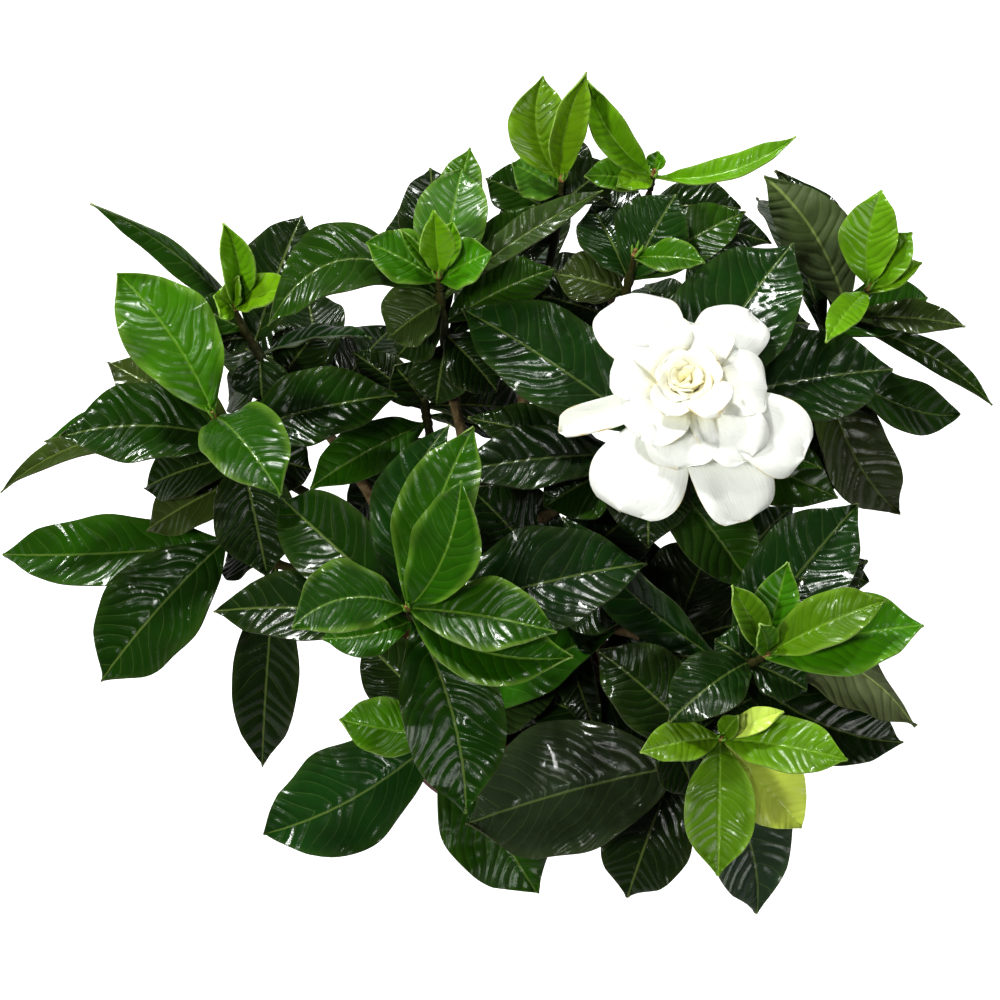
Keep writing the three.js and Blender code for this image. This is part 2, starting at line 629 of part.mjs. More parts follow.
// The slopes, turns and sizes tried in turn, from the row's own to the furthest.
const SWINGS = [0, 3, -3, 6, -6, 9, -9, 12, -12, 15, -15, 18, -18, 22, -22, 26, -26, 30, -30];
const TRIES = [[0, 1], [18, 1], [-18, 1], [0, 0.8], [0, 0.6], [30, 0.5], [-30, 0.5]].flatMap(
  ([roll, size]) => SWINGS.map((swing) => ({ swing, roll, size })));

// A leaf swings up or down along its line of sight until it is clear of what is in place.
function placeLeaf(base, spec, node) {
  let best = null;
  for (const { swing, roll, size } of TRIES) {
    const blade = leafBlade(base, {
      ...spec, rise: spec.rise + swing, roll: (spec.roll ?? 0) + roll, width: spec.width * size,
    });
    const room = roomRound(blade, node);
    if (room.other < CLEAR.least) continue;
    const score = Math.min(room.other, room.own + 0.2);
    if (!best || score > best.score + 0.05) best = { blade, score };
    if (score >= CLEAR.wanted) break;
  }
  if (!best) return null;
  placed.push({ node, ...best.blade });
  return best.blade.whole;
}

// ---------------------------------------------------------------- pot and soil

const materials = {
  pot: new THREE.MeshStandardMaterial({ color: 0x6e1410, roughness: 0.42, metalness: 0 }),
  soil: new THREE.MeshStandardMaterial({ color: 0x2a1c12, roughness: 0.95, metalness: 0 }),
  wood: new THREE.MeshStandardMaterial({ color: 0x6b5a41, roughness: 0.85, metalness: 0 }),
  darkLeaf: new THREE.MeshStandardMaterial({ color: 0x173a16, roughness: 0.3, metalness: 0 }),
  lightLeaf: new THREE.MeshStandardMaterial({ color: 0x4f9a1c, roughness: 0.35, metalness: 0 }),
  petal: new THREE.MeshStandardMaterial({ color: 0xfaf8ee, roughness: 0.55, metalness: 0 }),
  calyx: new THREE.MeshStandardMaterial({ color: 0x6fa33a, roughness: 0.5, metalness: 0 }),
};

// The wall's radius at a height, on its inner side.
function innerRadius(height) {
  const low = POT.footRadius - POT.wall;
  const high = POT.rimRadius - POT.rimLip;
  return THREE.MathUtils.lerp(low, high, height / POT.height);
}

function potSolid() {
  const { height, footRadius, footRing, footPad, footLift, floor, rimRadius, rimBand, wall } = POT;
  const bandFoot = height - rimBand;
  const profile = [
    [0, 0],
    [footPad, 0],
    [footPad + 1.5, footLift],
    [footRadius - footRing - 1, footLift],
    [footRadius - footRing, 0],
    [footRadius - 1.5, 0],
    [footRadius, 1.5],
    [innerRadius(bandFoot) + wall, bandFoot],
    [rimRadius - 1.4, bandFoot + 1.2],
    [rimRadius, height - 1.6],
    [rimRadius - 1.4, height],
    [innerRadius(height) + 1, height],
    [innerRadius(height), height - 1],
    [innerRadius(footLift + floor + 3), footLift + floor + 3],
    [innerRadius(0) - 3, footLift + floor],
    [0, footLift + floor],
  ];
  const hole = new THREE.CylinderGeometry(POT.drainRadius, POT.drainRadius, 20, 8)
    .rotateX(Math.PI / 2)
    .translate(POT.drainCircle, 0, 0);
  const drill = solid(hole);
  const holes = Array.from({ length: POT.drainHoles }, (_, i) => (
    drill.rotate([0, 0, (i * 360) / POT.drainHoles])));
  return solid(turned(profile, POT.sides)).subtract(wasm.Manifold.union(holes));
}

const soilTop = POT.height - SOIL.belowRim;

// The soil's own bumps, as a formula of place.
const soilBump = (x, y) => SOIL.bump * (Math.sin(x * 0.23 + 1) * Math.cos(y * 0.19)
  + 0.6 * Math.sin(x * 0.11 - y * 0.31));

function soilSolid(trunks) {
  const bottom = POT.footLift + POT.floor + GAP;
  const edge = innerRadius(soilTop) - GAP - 0.3;
  const profile = [
    [0, bottom],
    [innerRadius(0) - 3 - GAP, bottom],
    [innerRadius(bottom + 3) - GAP - 0.3, bottom + 3],
    [edge, soilTop],
  ];
  for (let i = 1; i <= SOIL.rings; i += 1) {
    const share = i / SOIL.rings;
    profile.push([edge * (1 - share), soilTop + SOIL.mound * Math.sin(share * Math.PI / 2)]);
  }
  const geometry = turned(profile, SOIL.sides);
  const place = geometry.attributes.position;
  for (let i = 0; i < place.count; i += 1) {
    const [x, y, z] = [place.getX(i), place.getY(i), place.getZ(i)];
    const inside = clamp((edge - Math.hypot(x, y)) / 8, 0, 1);
    if (z >= soilTop) place.setZ(i, z + inside * soilBump(x, y));
  }
  const holes = Object.values(trunks).map(({ foot: [x, y] }) => solid(
    new THREE.CylinderGeometry(TRUNK.radius + GAP + 0.5, TRUNK.radius + GAP + 0.5, TRUNK.depth + 20, 8)
      .rotateX(Math.PI / 2)
      .translate(x, y, soilTop - TRUNK.depth - GAP + (TRUNK.depth + 20) / 2)));
  return solid(geometry).subtract(wasm.Manifold.union(holes));
}

// ---------------------------------------------------------------- stems

// A shoot's stem: it leans away from the middle of the pot by its tilt, and straightens up at the top.
function stemCurve({ top, tilt, length = STEM.length }) {
  const end = seenAt(top);
  const outward = new THREE.Vector3(end.x, end.y, 0).normalize();
  const lean = outward.clone().multiplyScalar(Math.sin(rad(tilt)))
    .addScaledVector(UP, Math.cos(rad(tilt)));
  const start = end.clone().addScaledVector(lean, -length);
  const bend = end.clone().addScaledVector(UP, -length * 0.35).addScaledVector(lean, -length * 0.2);
  return new THREE.QuadraticBezierCurve3(start, bend, end);
}

function crownCurve(stem) {
  const tangent = stem.getTangentAt(1);
  const start = stem.getPointAt(1).addScaledVector(tangent, GAP);
  return new THREE.LineCurve3(start, start.clone().addScaledVector(tangent, CROWN.length));
}

// A trunk with a twig to the foot of each of its shoots.
function trunkSolid({ foot, fork }, stems) {
  const root = new THREE.Vector3(foot[0], foot[1], soilTop - TRUNK.depth);
  const neck = new THREE.Vector3(...fork);
  const collar = new THREE.Vector3(foot[0], foot[1], soilTop + TRUNK.collar);
  const above = new THREE.Vector3(foot[0], foot[1], (collar.z + neck.z) / 2);
  const rooted = new THREE.LineCurve3(root, collar.clone().addScaledVector(UP, 1));
  const trunk = new THREE.QuadraticBezierCurve3(collar, above, neck);
  const twigs = stems.map((stem) => {
    const tangent = stem.getTangentAt(0);
    const end = stem.getPointAt(0).addScaledVector(tangent, -GAP);
    const reach = end.distanceTo(neck);
    const bend = end.clone().addScaledVector(tangent, -reach * 0.45);
    const curve = new THREE.QuadraticBezierCurve3(neck, bend, end);
    const { forkRadius, twigRadius, sides, steps } = TRUNK;
    return solid(stemGeometry(curve, forkRadius * 0.9, twigRadius, sides, steps));
  });
  const { radius, forkRadius, sides, steps } = TRUNK;
  return fused([
    solid(stemGeometry(rooted, radius, radius, sides, 1)),
    solid(stemGeometry(trunk, radius, forkRadius, sides, steps)),
    solid(new THREE.SphereGeometry(forkRadius * 1.05, 6, 4).translate(...fork)),
    ...twigs,
  ]);
}

// ---------------------------------------------------------------- the bloom

const mouth = seenAt(BLOOM.mouth);
const bloomStem = stemCurve(SHOOTS.find(({ name }) => name === 'under_bloom'));
const bloomFoot = bloomStem.getPointAt(1);
const bloomAxis = mouth.clone().sub(bloomFoot).normalize();

// A point on the bloom's axis, by its distance below the mouth.
const onAxis = (below) => mouth.clone().addScaledVector(bloomAxis, -below);

// How finely a petal is cut: large outer ones, middling ones and the small ones at the heart.
const PETAL_PATTERN = [
  { wider: 30, across: [-1, -0.4, 0.4, 1], stations: [0, 0.36, 0.8, 1] },
  { wider: 21, across: [-1, 0, 1], stations: [0, 0.42, 0.86, 1] },
  { wider: 0, across: [-1, 0, 1], stations: [0, 0.6, 1] },
];

function petalBlade(spec) {
  const tip = tipOnSight(mouth, spec.seen, spec.rise);
  const heading = tip.clone().sub(mouth);
  heading.addScaledVector(bloomAxis, -heading.dot(bloomAxis)).setLength(BLOOM.tubeRadius * 0.5);
  const base = onAxis(2).add(heading);
  const surface = bladeSurface(base, tip, spec, PETAL_OUTLINE, PETAL.root);
  const { across, stations } = PETAL_PATTERN.find(({ wider }) => spec.width > wider);
  const thickness = PETAL.thickness / Math.cos(rad(spec.fold ?? BLADE.fold));
  return solid(bladeGeometry(surface, stations, across, thickness));
}

function bloomSolid() {
  const { tube, tubeRadius } = BLOOM;
  const throat = new THREE.LineCurve3(onAxis(tube * 0.5), onAxis(-1));
  const heart = new THREE.LineCurve3(onAxis(1), onAxis(-9));
  return fused([
    solid(stemGeometry(throat, tubeRadius * 0.7, tubeRadius, 10, 1)),
    solid(stemGeometry(heart, 3.4, 1.6, 8, 2)),
    ...PETALS.map(petalBlade),
  ]);
}

// The calyx: a small ribbed cup under the tube with slender lobes that stand away from it.
function calyxSolid() {
  const { tube, sepals, sepalLength } = BLOOM;
  const start = bloomFoot.clone().addScaledVector(bloomAxis, BLOOM.seat);
  const cup = new THREE.LineCurve3(start, onAxis(tube * 0.5 + GAP));
  const cupTop = cup.getPoint(1);
  const lobes = Array.from({ length: sepals }, (_, i) => {
    const angle = (i * 2 * Math.PI) / sepals;
    const out = new THREE.Vector3(Math.cos(angle), Math.sin(angle), 0);
    const base = cupTop.clone().addScaledVector(bloomAxis, -1.6).addScaledVector(out, 1.2);
    const tip = base.clone().addScaledVector(out, sepalLength * 0.86)
      .addScaledVector(bloomAxis, -sepalLength * 0.3);
    const surface = bladeSurface(base, tip, { width: 3.2, droop: 20 }, LEAF_OUTLINE, BLADE.petiole);
    return solid(bladeGeometry(surface, [0, 0.4, 1], [-1, 1], BLADE.thickness));
  });
  return fused([solid(stemGeometry(cup, 1.6, 3.1, 8, 2)), ...lobes]);
}

// ---------------------------------------------------------------- the whole plant

const gardenia = new THREE.Group();
gardenia.name = 'potted_gardenia';

const shoots = SHOOTS.map((shoot) => ({ ...shoot, stem: stemCurve(shoot) }));

const pot = potSolid();
const soil = soilSolid(TRUNKS);
gardenia.add(meshOf(pot, 'pot', materials.pot));
gardenia.add(meshOf(soil, 'soil', materials.soil));
placed.push({ node: 'pot', whole: pot }, { node: 'soil', whole: soil });

for (const [name, trunk] of Object.entries(TRUNKS)) {
  const stems = shoots.filter((shoot) => shoot.trunk === name).map((shoot) => shoot.stem);
  const body = trunkSolid(trunk, stems);
  const node = `woody_stem_${name}`;
  gardenia.add(meshOf(body, node, materials.wood));
  placed.push({ node, whole: body });
}

const bloom = bloomSolid();
const calyx = calyxSolid();
gardenia.add(meshOf(bloom, 'bloom_petals', materials.petal));
gardenia.add(meshOf(calyx, 'bloom_calyx', materials.calyx));
placed.push({ node: 'bloom_petals', whole: bloom }, { node: 'bloom_calyx', whole: calyx });

// Every stem stands before the first leaf is placed, so that no leaf crosses one.
const bodies = [];
for (const { name, stem, leaves } of shoots) {
  const { footRadius, topRadius, sides, steps } = STEM;
  const green = solid(stemGeometry(stem, footRadius, topRadius, sides, steps));
  const dark = leaves.filter(({ tone }) => !LIGHT_TONES.includes(tone));
  const light = leaves.filter(({ tone }) => LIGHT_TONES.includes(tone));
  const node = `leafy_stem_${name}`;
  placed.push({ node, whole: green });
  const parts = [{
    node, curve: stem, steps, stemBody: green, leaves: dark, material: materials.darkLeaf, at: 0.9,
  }];
  if (light.length) {
    const crown = crownCurve(stem);
    const body = solid(stemGeometry(crown, CROWN.footRadius, CROWN.topRadius, 5, 1));
    const young = `young_leaves_${name}`;
    placed.push({ node: young, whole: body });
    parts.unshift({
      node: young, curve: crown, steps: 1, stemBody: body, leaves: light, material: materials.lightLeaf, at: 0.6,
    });
  }
  bodies.push(...parts);
}

// Young leaves lie on top, so they are placed first.
const isYoung = ({ node }) => node.startsWith('young');
for (const part of [...bodies.filter(isYoung), ...bodies.filter((p) => !isYoung(p))]) {
  const base = ({ at = part.at }) => onStem(part.curve, part.steps, Math.min(at, 0.98));
  const blades = part.leaves.map((spec) => placeLeaf(base(spec), spec, part.node)).filter(Boolean);
  gardenia.add(meshOf(fused([part.stemBody, ...blades]), part.node, part.material));
}

export default gardenia;
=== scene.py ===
"""A potted gardenia: broad glossy leaves on woody stems, young shoots and one open double bloom.

The pot stands on the floor with the origin under its middle. The plant's tables are in millimetres.
Each piece stands for nodes of the solid part and keeps their form, with the veins, swellings,
waved margins, buds, bark and crumbs that the solid part leaves out.
"""

import math
import random

import bmesh
import bpy
import numpy as np
from mathutils import Matrix, Quaternion, Vector, kdtree


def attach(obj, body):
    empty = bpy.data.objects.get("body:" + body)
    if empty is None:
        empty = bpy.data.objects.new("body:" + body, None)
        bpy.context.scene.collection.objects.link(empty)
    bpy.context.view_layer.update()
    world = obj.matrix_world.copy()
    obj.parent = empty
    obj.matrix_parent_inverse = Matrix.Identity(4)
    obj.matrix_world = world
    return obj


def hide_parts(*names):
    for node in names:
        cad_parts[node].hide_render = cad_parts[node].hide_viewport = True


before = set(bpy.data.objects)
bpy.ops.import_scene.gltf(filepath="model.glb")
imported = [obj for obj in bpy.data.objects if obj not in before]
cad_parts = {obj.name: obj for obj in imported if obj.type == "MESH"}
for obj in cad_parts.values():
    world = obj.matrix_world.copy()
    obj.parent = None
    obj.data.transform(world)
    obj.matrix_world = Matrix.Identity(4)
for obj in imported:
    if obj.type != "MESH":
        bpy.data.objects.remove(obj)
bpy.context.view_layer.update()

MM = 0.001
TURN = 2 * math.pi

# ---------------------------------------------------------------- sizes of the solid part

POT = dict(
    height=98, foot_radius=40, foot_ring=7, foot_pad=9, foot_lift=2, floor=2.4,
    rim_radius=51, rim_band=17, rim_lip=3.6, wall=2.2,
    drain_holes=6, drain_radius=3.4, drain_circle=24,
)
SOIL = dict(below_rim=10, mound=6, bump=1.2, wall_clear=0.3, upper=0.01, flat_edge=8)
SOIL_TOP = POT["height"] - SOIL["below_rim"]
GAP = 0.3
STEM = dict(length=46, foot_radius=2.1, top_radius=1.5, steps=3, straight_top=0.35, leaning=0.2)
CROWN = dict(length=10, foot_radius=1.4, top_radius=0.9)
TRUNK = dict(radius=4.2, fork_radius=3.2, twig_radius=2.2, depth=42, collar=12)
BLADE = dict(
    thickness=0.7, petiole=1.0, tip=0.5, droop=34, fold=14, wave=0.03, waves=1.6, phase=7, opens=6,
)
PETAL = dict(thickness=0.8, root=2.2)

# The plant is set out as it is seen from in front and above, in a picture 1000 units square. Its
# scale (millimetres a unit) is true on the plane through the aim.
VIEW = dict(elevation=64, distance=1200, aim=(5.5, 22, 189), scale=0.4, middle=500)

# ---------------------------------------------------------------- the plant, stem by stem


def leafy_stem(name, trunk, top, tilt, *leaves, length=STEM["length"]):
    """A stem's row: its trunk, where its top is seen and its height, its tilt and its leaves."""
    return dict(name=name, trunk=trunk, top=top, tilt=tilt, leaves=leaves, length=length)


def leaf(x, y, width, rise, tone, at, **more):
    """A leaf's row: where its tip is seen, its width, rise, tone and its share up the stem."""
    return dict(seen=(x, y), width=width, rise=rise, tone=tone, at=at, **more)


def back(heading, length, width, rise, at):
    """A hidden leaf's row: its direction from the stem in degrees, its length, width and rise."""
    # A hidden leaf is given the dark tone, which is painted shade.
    return dict(heading=heading, length=length, width=width, rise=rise, tone="dark", at=at)


def petal(x, y, width, rise, **more):
    """A petal's row: where its tip is seen, its width, and how steeply it rises from the heart."""
    return dict(seen=(x, y), width=width, rise=rise, **more)


# The tones of young leaves. They sit on the crown at the top of a stem, the others on the stem.
LIGHT_TONES = ("fresh", "verdant", "spring", "bright", "lime", "jade")

TRUNKS = {
    "left": dict(foot=(-21, 4), fork=(-32, 12, 126)),
    "front": dict(foot=(-4, -21), fork=(-5, -17, 112)),
    "right": dict(foot=(21, -5), fork=(32, -4, 126)),
    "rear": dict(foot=(5, 21), fork=(9, 40, 128)),
}

SHOOTS = [
    leafy_stem(
        "under_bloom", "rear", (682, 400, 239), 46,
        leaf(893, 369, 44, 8, "deep", 0.9, droop=24),
        leaf(793, 243, 46, 0, "deep", 0.8),
        leaf(462, 309, 42, 8, "deep", 0.6, droop=26),
        leaf(755, 592, 32, -16, "mid", 0.5, droop=30),
        leaf(452, 473, 27, 2, "deep", 0.4),
        leaf(545, 507, 33, -8, "mid", 0.3),
        leaf(822, 468, 24, 0, "mid", 0.75),
        leaf(780, 334, 22, 0, "mid", 0.7),
        leaf(838, 498, 34, -10, "mid", 0.62, droop=30),
        leaf(648, 548, 34, -24, "dark", 0.55),
        leaf(468, 418, 22, -8, "dark", 0.3),
        length=58,
    ),
    leafy_stem(
        "south_west", "front", (410, 614, 233), 30,
        leaf(557, 632, 29, 12, "verdant", 0.8, droop=30),
        leaf(573, 657, 28, 4, "verdant", 0.3, droop=26, bend=-0.14),
        leaf(461, 480, 27, 40, "verdant", 0.8, droop=46, bend=-0.12),
        leaf(292, 627, 30, 16, "verdant", 0.7, droop=40, bend=-0.14),
        leaf(474, 427, 29, 24, "verdant", 0.4, bend=0.03),
        leaf(281, 498, 33, 14, "moss", 0.97),
        leaf(466, 814, 39, -20, "moss", 0.92, droop=24, bend=0.06),
        leaf(450, 424, 25, 14, "deep", 0.9, bend=0.14),
        leaf(647, 563, 42, 4, "deep", 0.66, droop=30),
        leaf(322, 638, 20, -2, "green", 0.75, bend=0.1),
        leaf(214, 611, 30, -8, "dark", 0.4),
        leaf(470, 720, 30, -20, "dark", 0.3),
    ),
    leafy_stem(
        "north_west", "rear", (440, 290, 243), 26,
        leaf(434, 211, 16, 62, "bright", 0.95, fold=36, droop=16),
        leaf(453, 222, 15, 60, "bright", 0.85, fold=36, droop=16),
        leaf(400, 229, 11, 40, "fresh", 0.8, fold=30),
        leaf(366, 242, 23, 20, "fresh", 0.5),
        leaf(491, 252, 22, 34, "fresh", 0.5),
        leaf(462, 168, 29, 34, "jade", 0.3, droop=30),
        leaf(470, 147, 20, 10, "fresh", 0.1),
        leaf(430, 167, 28, 4, "dark", 0.86),
        leaf(535, 205, 16, 4, "mid", 0.86, fold=34),
        leaf(388, 339, 28, -16, "dull", 0.86, fold=24, droop=40),
        leaf(268, 326, 32, 6, "mid", 0.9, droop=50, bend=-0.28),
        leaf(603, 190, 24, 4, "dull", 0.9, fold=24),
        leaf(556, 268, 24, 0, "mid", 0.6),
        leaf(548, 248, 24, -8, "deep", 0.4),
        leaf(400, 210, 26, -8, "dark", 0.5),
        leaf(497, 392, 26, -20, "dark", 0.5),
        leaf(436, 404, 24, -34, "dark", 0.4),
        leaf(398, 356, 24, -30, "dark", 0.7),
    ),
    leafy_stem(
        "west", "left", (222, 428, 199), 52,
        leaf(117, 273, 37, 24, "fresh", 0.8, bend=-0.04),
        leaf(281, 495, 33, 22, "verdant", 0.7, droop=70),
        leaf(60, 437, 35, 8, "moss", 0.8, droop=26, bend=-0.06),
        leaf(397, 395, 33, 8, "moss", 0.88),
        leaf(108, 362, 28, 4, "dull", 0.66),
        leaf(44, 441, 22, -16, "green", 0.6, bend=-0.06),
        leaf(0, 492, 16, -12, "dull", 0.7, fold=24, bend=-0.12),
        leaf(145, 488, 28, -10, "dark", 0.62),
        leaf(267, 575, 34, -28, "dark", 0.7),
        leaf(146, 531, 26, -24, "dull", 0.4),
        leaf(312, 470, 26, -16, "dark", 0.55),
    ),
    leafy_stem(
        "north", "rear", (560, 196, 231), 52,
        leaf(543, 76, 24, 38, "bright", 0.8, bend=0.16),
        leaf(587, 72, 17, 44, "bright", 0.6, fold=34, roll=30, bend=0.1),
        leaf(512, 164, 25, 24, "jade", 0.15),
        leaf(486, 178, 26, 14, "mid", 0.8),
        leaf(612, 166, 22, 16, "dark", 0.9),
        leaf(500, 240, 28, -4, "dark", 0.6),
        leaf(566, 130, 26, 6, "dark", 0.7),
    ),
    leafy_stem(
        "north_east", "rear", (650, 190, 225), 54,
        leaf(587, 80, 19, 42, "bright", 0.8, fold=44, roll=-24, bend=0.1),
        leaf(796, 136, 13, 18, "bright", 0.7, fold=30, droop=-10, bend=-0.11),
        leaf(617, 186, 13, 40, "bright", 0.6),
        leaf(584, 176, 16, 20, "fresh", 0.3),
        leaf(658, 151, 8, 50, "fresh", 0.95),
        leaf(741, 208, 22, 4, "dark", 0.8),
        leaf(772, 243, 20, 0, "dark", 0.7),
        leaf(598, 196, 24, -8, "dark", 0.6),
    ),
    leafy_stem(
        "middle", "rear", (632, 268, 237), 30,
        leaf(676, 194, 31, 30, "deep", 0.86, droop=26),
        leaf(745, 212, 25, 10, "mid", 0.84),
        leaf(592, 207, 26, 22, "deep", 0.85),
        leaf(705, 262, 15, 20, "fresh", 0.6),
        leaf(554, 274, 24, 8, "dull", 0.7),
        leaf(520, 292, 28, -6, "dark", 0.4),
        leaf(700, 330, 30, -14, "dark", 0.3),
    ),
    leafy_stem(
        "young_west", "left", (240, 322, 221), 44,
        leaf(223, 223, 19, 50, "bright", 0.9, fold=48, bend=-0.12),
        leaf(294, 286, 17, 44, "bright", 0.8, fold=26),
        leaf(214, 296, 16, 52, "bright", 0.6),
        leaf(238, 276, 11, 66, "bright", 0.95, fold=40),
        leaf(302, 215, 30, 16, "dark", 0.7),
        leaf(90, 205, 15, 12, "mid", 0.5, roll=-64, fold=24, droop=-58),
        leaf(190, 306, 18, 14, "mid", 0.9),
        leaf(372, 337, 20, 4, "deep", 0.6, roll=-44),
        leaf(220, 342, 16, 10, "dark", 0.8),
        leaf(318, 332, 24, 0, "dark", 0.3),
        leaf(262, 400, 24, -30, "dark", 0.6),
        leaf(228, 402, 24, -22, "dark", 0.4),
    ),
    leafy_stem(
        "south_east", "right", (758, 660, 219), 50,
        leaf(886, 600, 23, 24, "spring", 0.85, fold=24),
        leaf(732, 585, 15, 40, "spring", 0.8, fold=34),
        leaf(924, 625, 33, 12, "fresh", 0.3),
        leaf(760, 624, 11, 60, "fresh", 0.95),
        leaf(788, 562, 17, 44, "fresh", 0.4, droop=20),
        leaf(715, 640, 20, 12, "deep", 0.86),
        leaf(803, 577, 30, 34, "deep", 0.78, fold=30, droop=60),
        leaf(807, 690, 22, -4, "deep", 0.84),
        leaf(669, 722, 26, 8, "deep", 0.85, droop=60),
        leaf(914, 728, 32, -2, "dull", 0.8, roll=158, droop=-30, bend=-0.2),
        leaf(904, 742, 32, -14, "dark", 0.6, bend=-0.13),
        leaf(857, 505, 38, 12, "deep", 0.6),
        leaf(562, 517, 26, 14, "deep", 0.5, roll=-56),
        leaf(631, 655, 30, 4, "dark", 0.4),
        leaf(868, 560, 24, -6, "dark", 0.4),
    ),
    leafy_stem(
        "east", "right", (860, 302, 211), 56,
        leaf(882, 190, 23, 44, "bright", 0.9, bend=0.08),
        leaf(912, 232, 18, 38, "bright", 0.7),
        leaf(922, 262, 12, 34, "bright", 0.5),
        leaf(928, 297, 27, 10, "green", 0.6, droop=54),
        leaf(826, 342, 13, 30, "bright", 0.6),
        leaf(765, 177, 28, 20, "mid", 0.8, roll=150, droop=-30, bend=0.1),
        leaf(775, 171, 22, 4, "dark", 0.66, bend=-0.1),
        leaf(798, 257, 17, 0, "green", 0.72, roll=56),
        leaf(966, 326, 15, -4, "dull", 0.8),
        leaf(993, 405, 12, -14, "mid", 0.74, droop=14, bend=0.07),
        leaf(960, 414, 25, -30, "mid", 0.4, bend=-0.16),
        leaf(899, 513, 32, -40, "dull", 0.45, bend=-0.12),
        leaf(757, 198, 20, 0, "dark", 0.5),
        leaf(832, 494, 18, -34, "dull", 0.25),
    ),
    leafy_stem(
        "south", "right", (715, 742, 201), 46,
        leaf(718, 876, 27, -12, "spring", 0.7, droop=24),
        leaf(848, 760, 23, 14, "spring", 0.6),
        # This leaf lies in shade under its neighbour; its lime tone is brightened as painted light.
        leaf(802, 828, 28, -8, "lime", 0.3),
        leaf(640, 752, 17, 20, "spring", 0.8),
        leaf(784, 711, 10, 30, "lime", 0.95),
        leaf(738, 716, 9, 60, "spring", 0.98),
        leaf(757, 914, 37, -34, "slate", 0.4, bend=0.1),
        leaf(597, 650, 34, 16, "dark", 0.7),
        leaf(760, 694, 26, -6, "dark", 0.5),
        leaf(668, 690, 26, 0, "dark", 0.3),
        leaf(696, 796, 24, -30, "dark", 0.2),
    ),
    leafy_stem(
        "low_south", "right", (690, 765, 161), 56,
        # The big front leaf, whose slate tone holds painted highlight.
        leaf(467, 824, 56, -6, "slate", 0.95, droop=30),
        leaf(627, 898, 36, -34, "dark", 0.7),
        leaf(528, 694, 36, 4, "dark", 0.7),
        back(-20, 56, 32, -20, 0.6),
        length=40,
    ),
    leafy_stem(
        "low_west", "left", (226, 536, 157), 64,
        leaf(101, 681, 43, -20, "moss", 0.97),
        leaf(2, 554, 32, -8, "green", 0.9, droop=26, bend=0.05),
        leaf(262, 766, 28, -46, "dark", 0.5, droop=26),
        leaf(225, 560, 24, -30, "dark", 0.6),
        length=52,
    ),
    leafy_stem(
        "low_south_west", "front", (440, 735, 143), 60,
        leaf(263, 834, 45, -20, "deep", 0.84, droop=26, bend=0.09),
        leaf(537, 893, 44, -28, "mid", 0.8, bend=-0.03),
        leaf(339, 719, 25, 10, "fresh", 0.6, bend=0.06),
        leaf(364, 642, 32, 8, "dark", 0.7),
        leaf(560, 690, 28, 6, "dull", 0.6),
        leaf(618, 628, 28, 14, "green", 0.5),
        length=40,
    ),
    leafy_stem(
        "inner", "left", (424, 398, 189), 20,
        leaf(536, 416, 26, -4, "dark", 0.86),
        leaf(394, 366, 22, 34, "dark", 0.9),
        leaf(352, 352, 17, 10, "dark", 0.8),
        leaf(352, 522, 28, -34, "dark", 0.4),
        leaf(310, 488, 24, -10, "green", 0.6),
        leaf(500, 440, 28, 4, "dark", 0.7),
        length=40,
    ),
    leafy_stem(
        "centre", "front", (560, 580, 171), 20,
        leaf(650, 500, 36, 6, "dark", 0.94),
        leaf(676, 560, 30, -16, "dark", 0.6),
        leaf(470, 488, 38, 16, "dark", 0.86),
        leaf(650, 610, 34, 6, "dark", 0.82),
        leaf(600, 740, 36, -6, "dark", 0.74),
        leaf(452, 560, 36, -4, "dark", 0.66),
        leaf(520, 730, 34, -14, "dark", 0.5),
        length=40,
    ),
    leafy_stem(
        "centre_east", "right", (676, 640, 161), 30,
        leaf(606, 566, 34, 8, "dark", 0.94),
        leaf(712, 540, 38, 6, "dark", 0.86),
        leaf(792, 506, 32, 0, "dark", 0.8),
        leaf(782, 616, 34, -8, "dark", 0.74),
        leaf(735, 730, 32, -20, "dark", 0.6),
        leaf(620, 720, 34, -24, "dark", 0.46),
        leaf(604, 650, 32, -18, "dark", 0.5),
        length=34,
    ),
    leafy_stem(
        "back_left", "left", (320, 372, 150), 60,
        back(100, 46, 28, -10, 0.97),
        back(150, 56, 30, -16, 0.9),
        back(205, 56, 28, -26, 0.75),
        back(62, 54, 30, -20, 0.7),
        back(125, 58, 32, -38, 0.5),
    ),
    leafy_stem(
        "back_middle", "rear", (520, 290, 145), 62,
        back(80, 60, 32, -10, 0.97),
        back(140, 58, 30, -16, 0.88),
        back(35, 58, 30, -20, 0.78),
        back(110, 64, 34, -40, 0.6),
        back(60, 60, 32, -44, 0.45),
    ),
    leafy_stem(
        "back_right", "rear", (700, 330, 153), 62,
        back(70, 56, 30, -8, 0.97),
        back(20, 58, 30, -18, 0.88),
        back(110, 54, 28, -24, 0.76),
        back(48, 60, 34, -38, 0.6),
        back(-8, 54, 30, -34, 0.45),
    ),
    leafy_stem(
        "low_east", "right", (760, 560, 143), 62,
        back(-2, 50, 30, -16, 0.97),
        back(-50, 56, 32, -24, 0.86),
        back(40, 50, 28, -26, 0.74),
        back(-20, 56, 32, -48, 0.5),
    ),
]

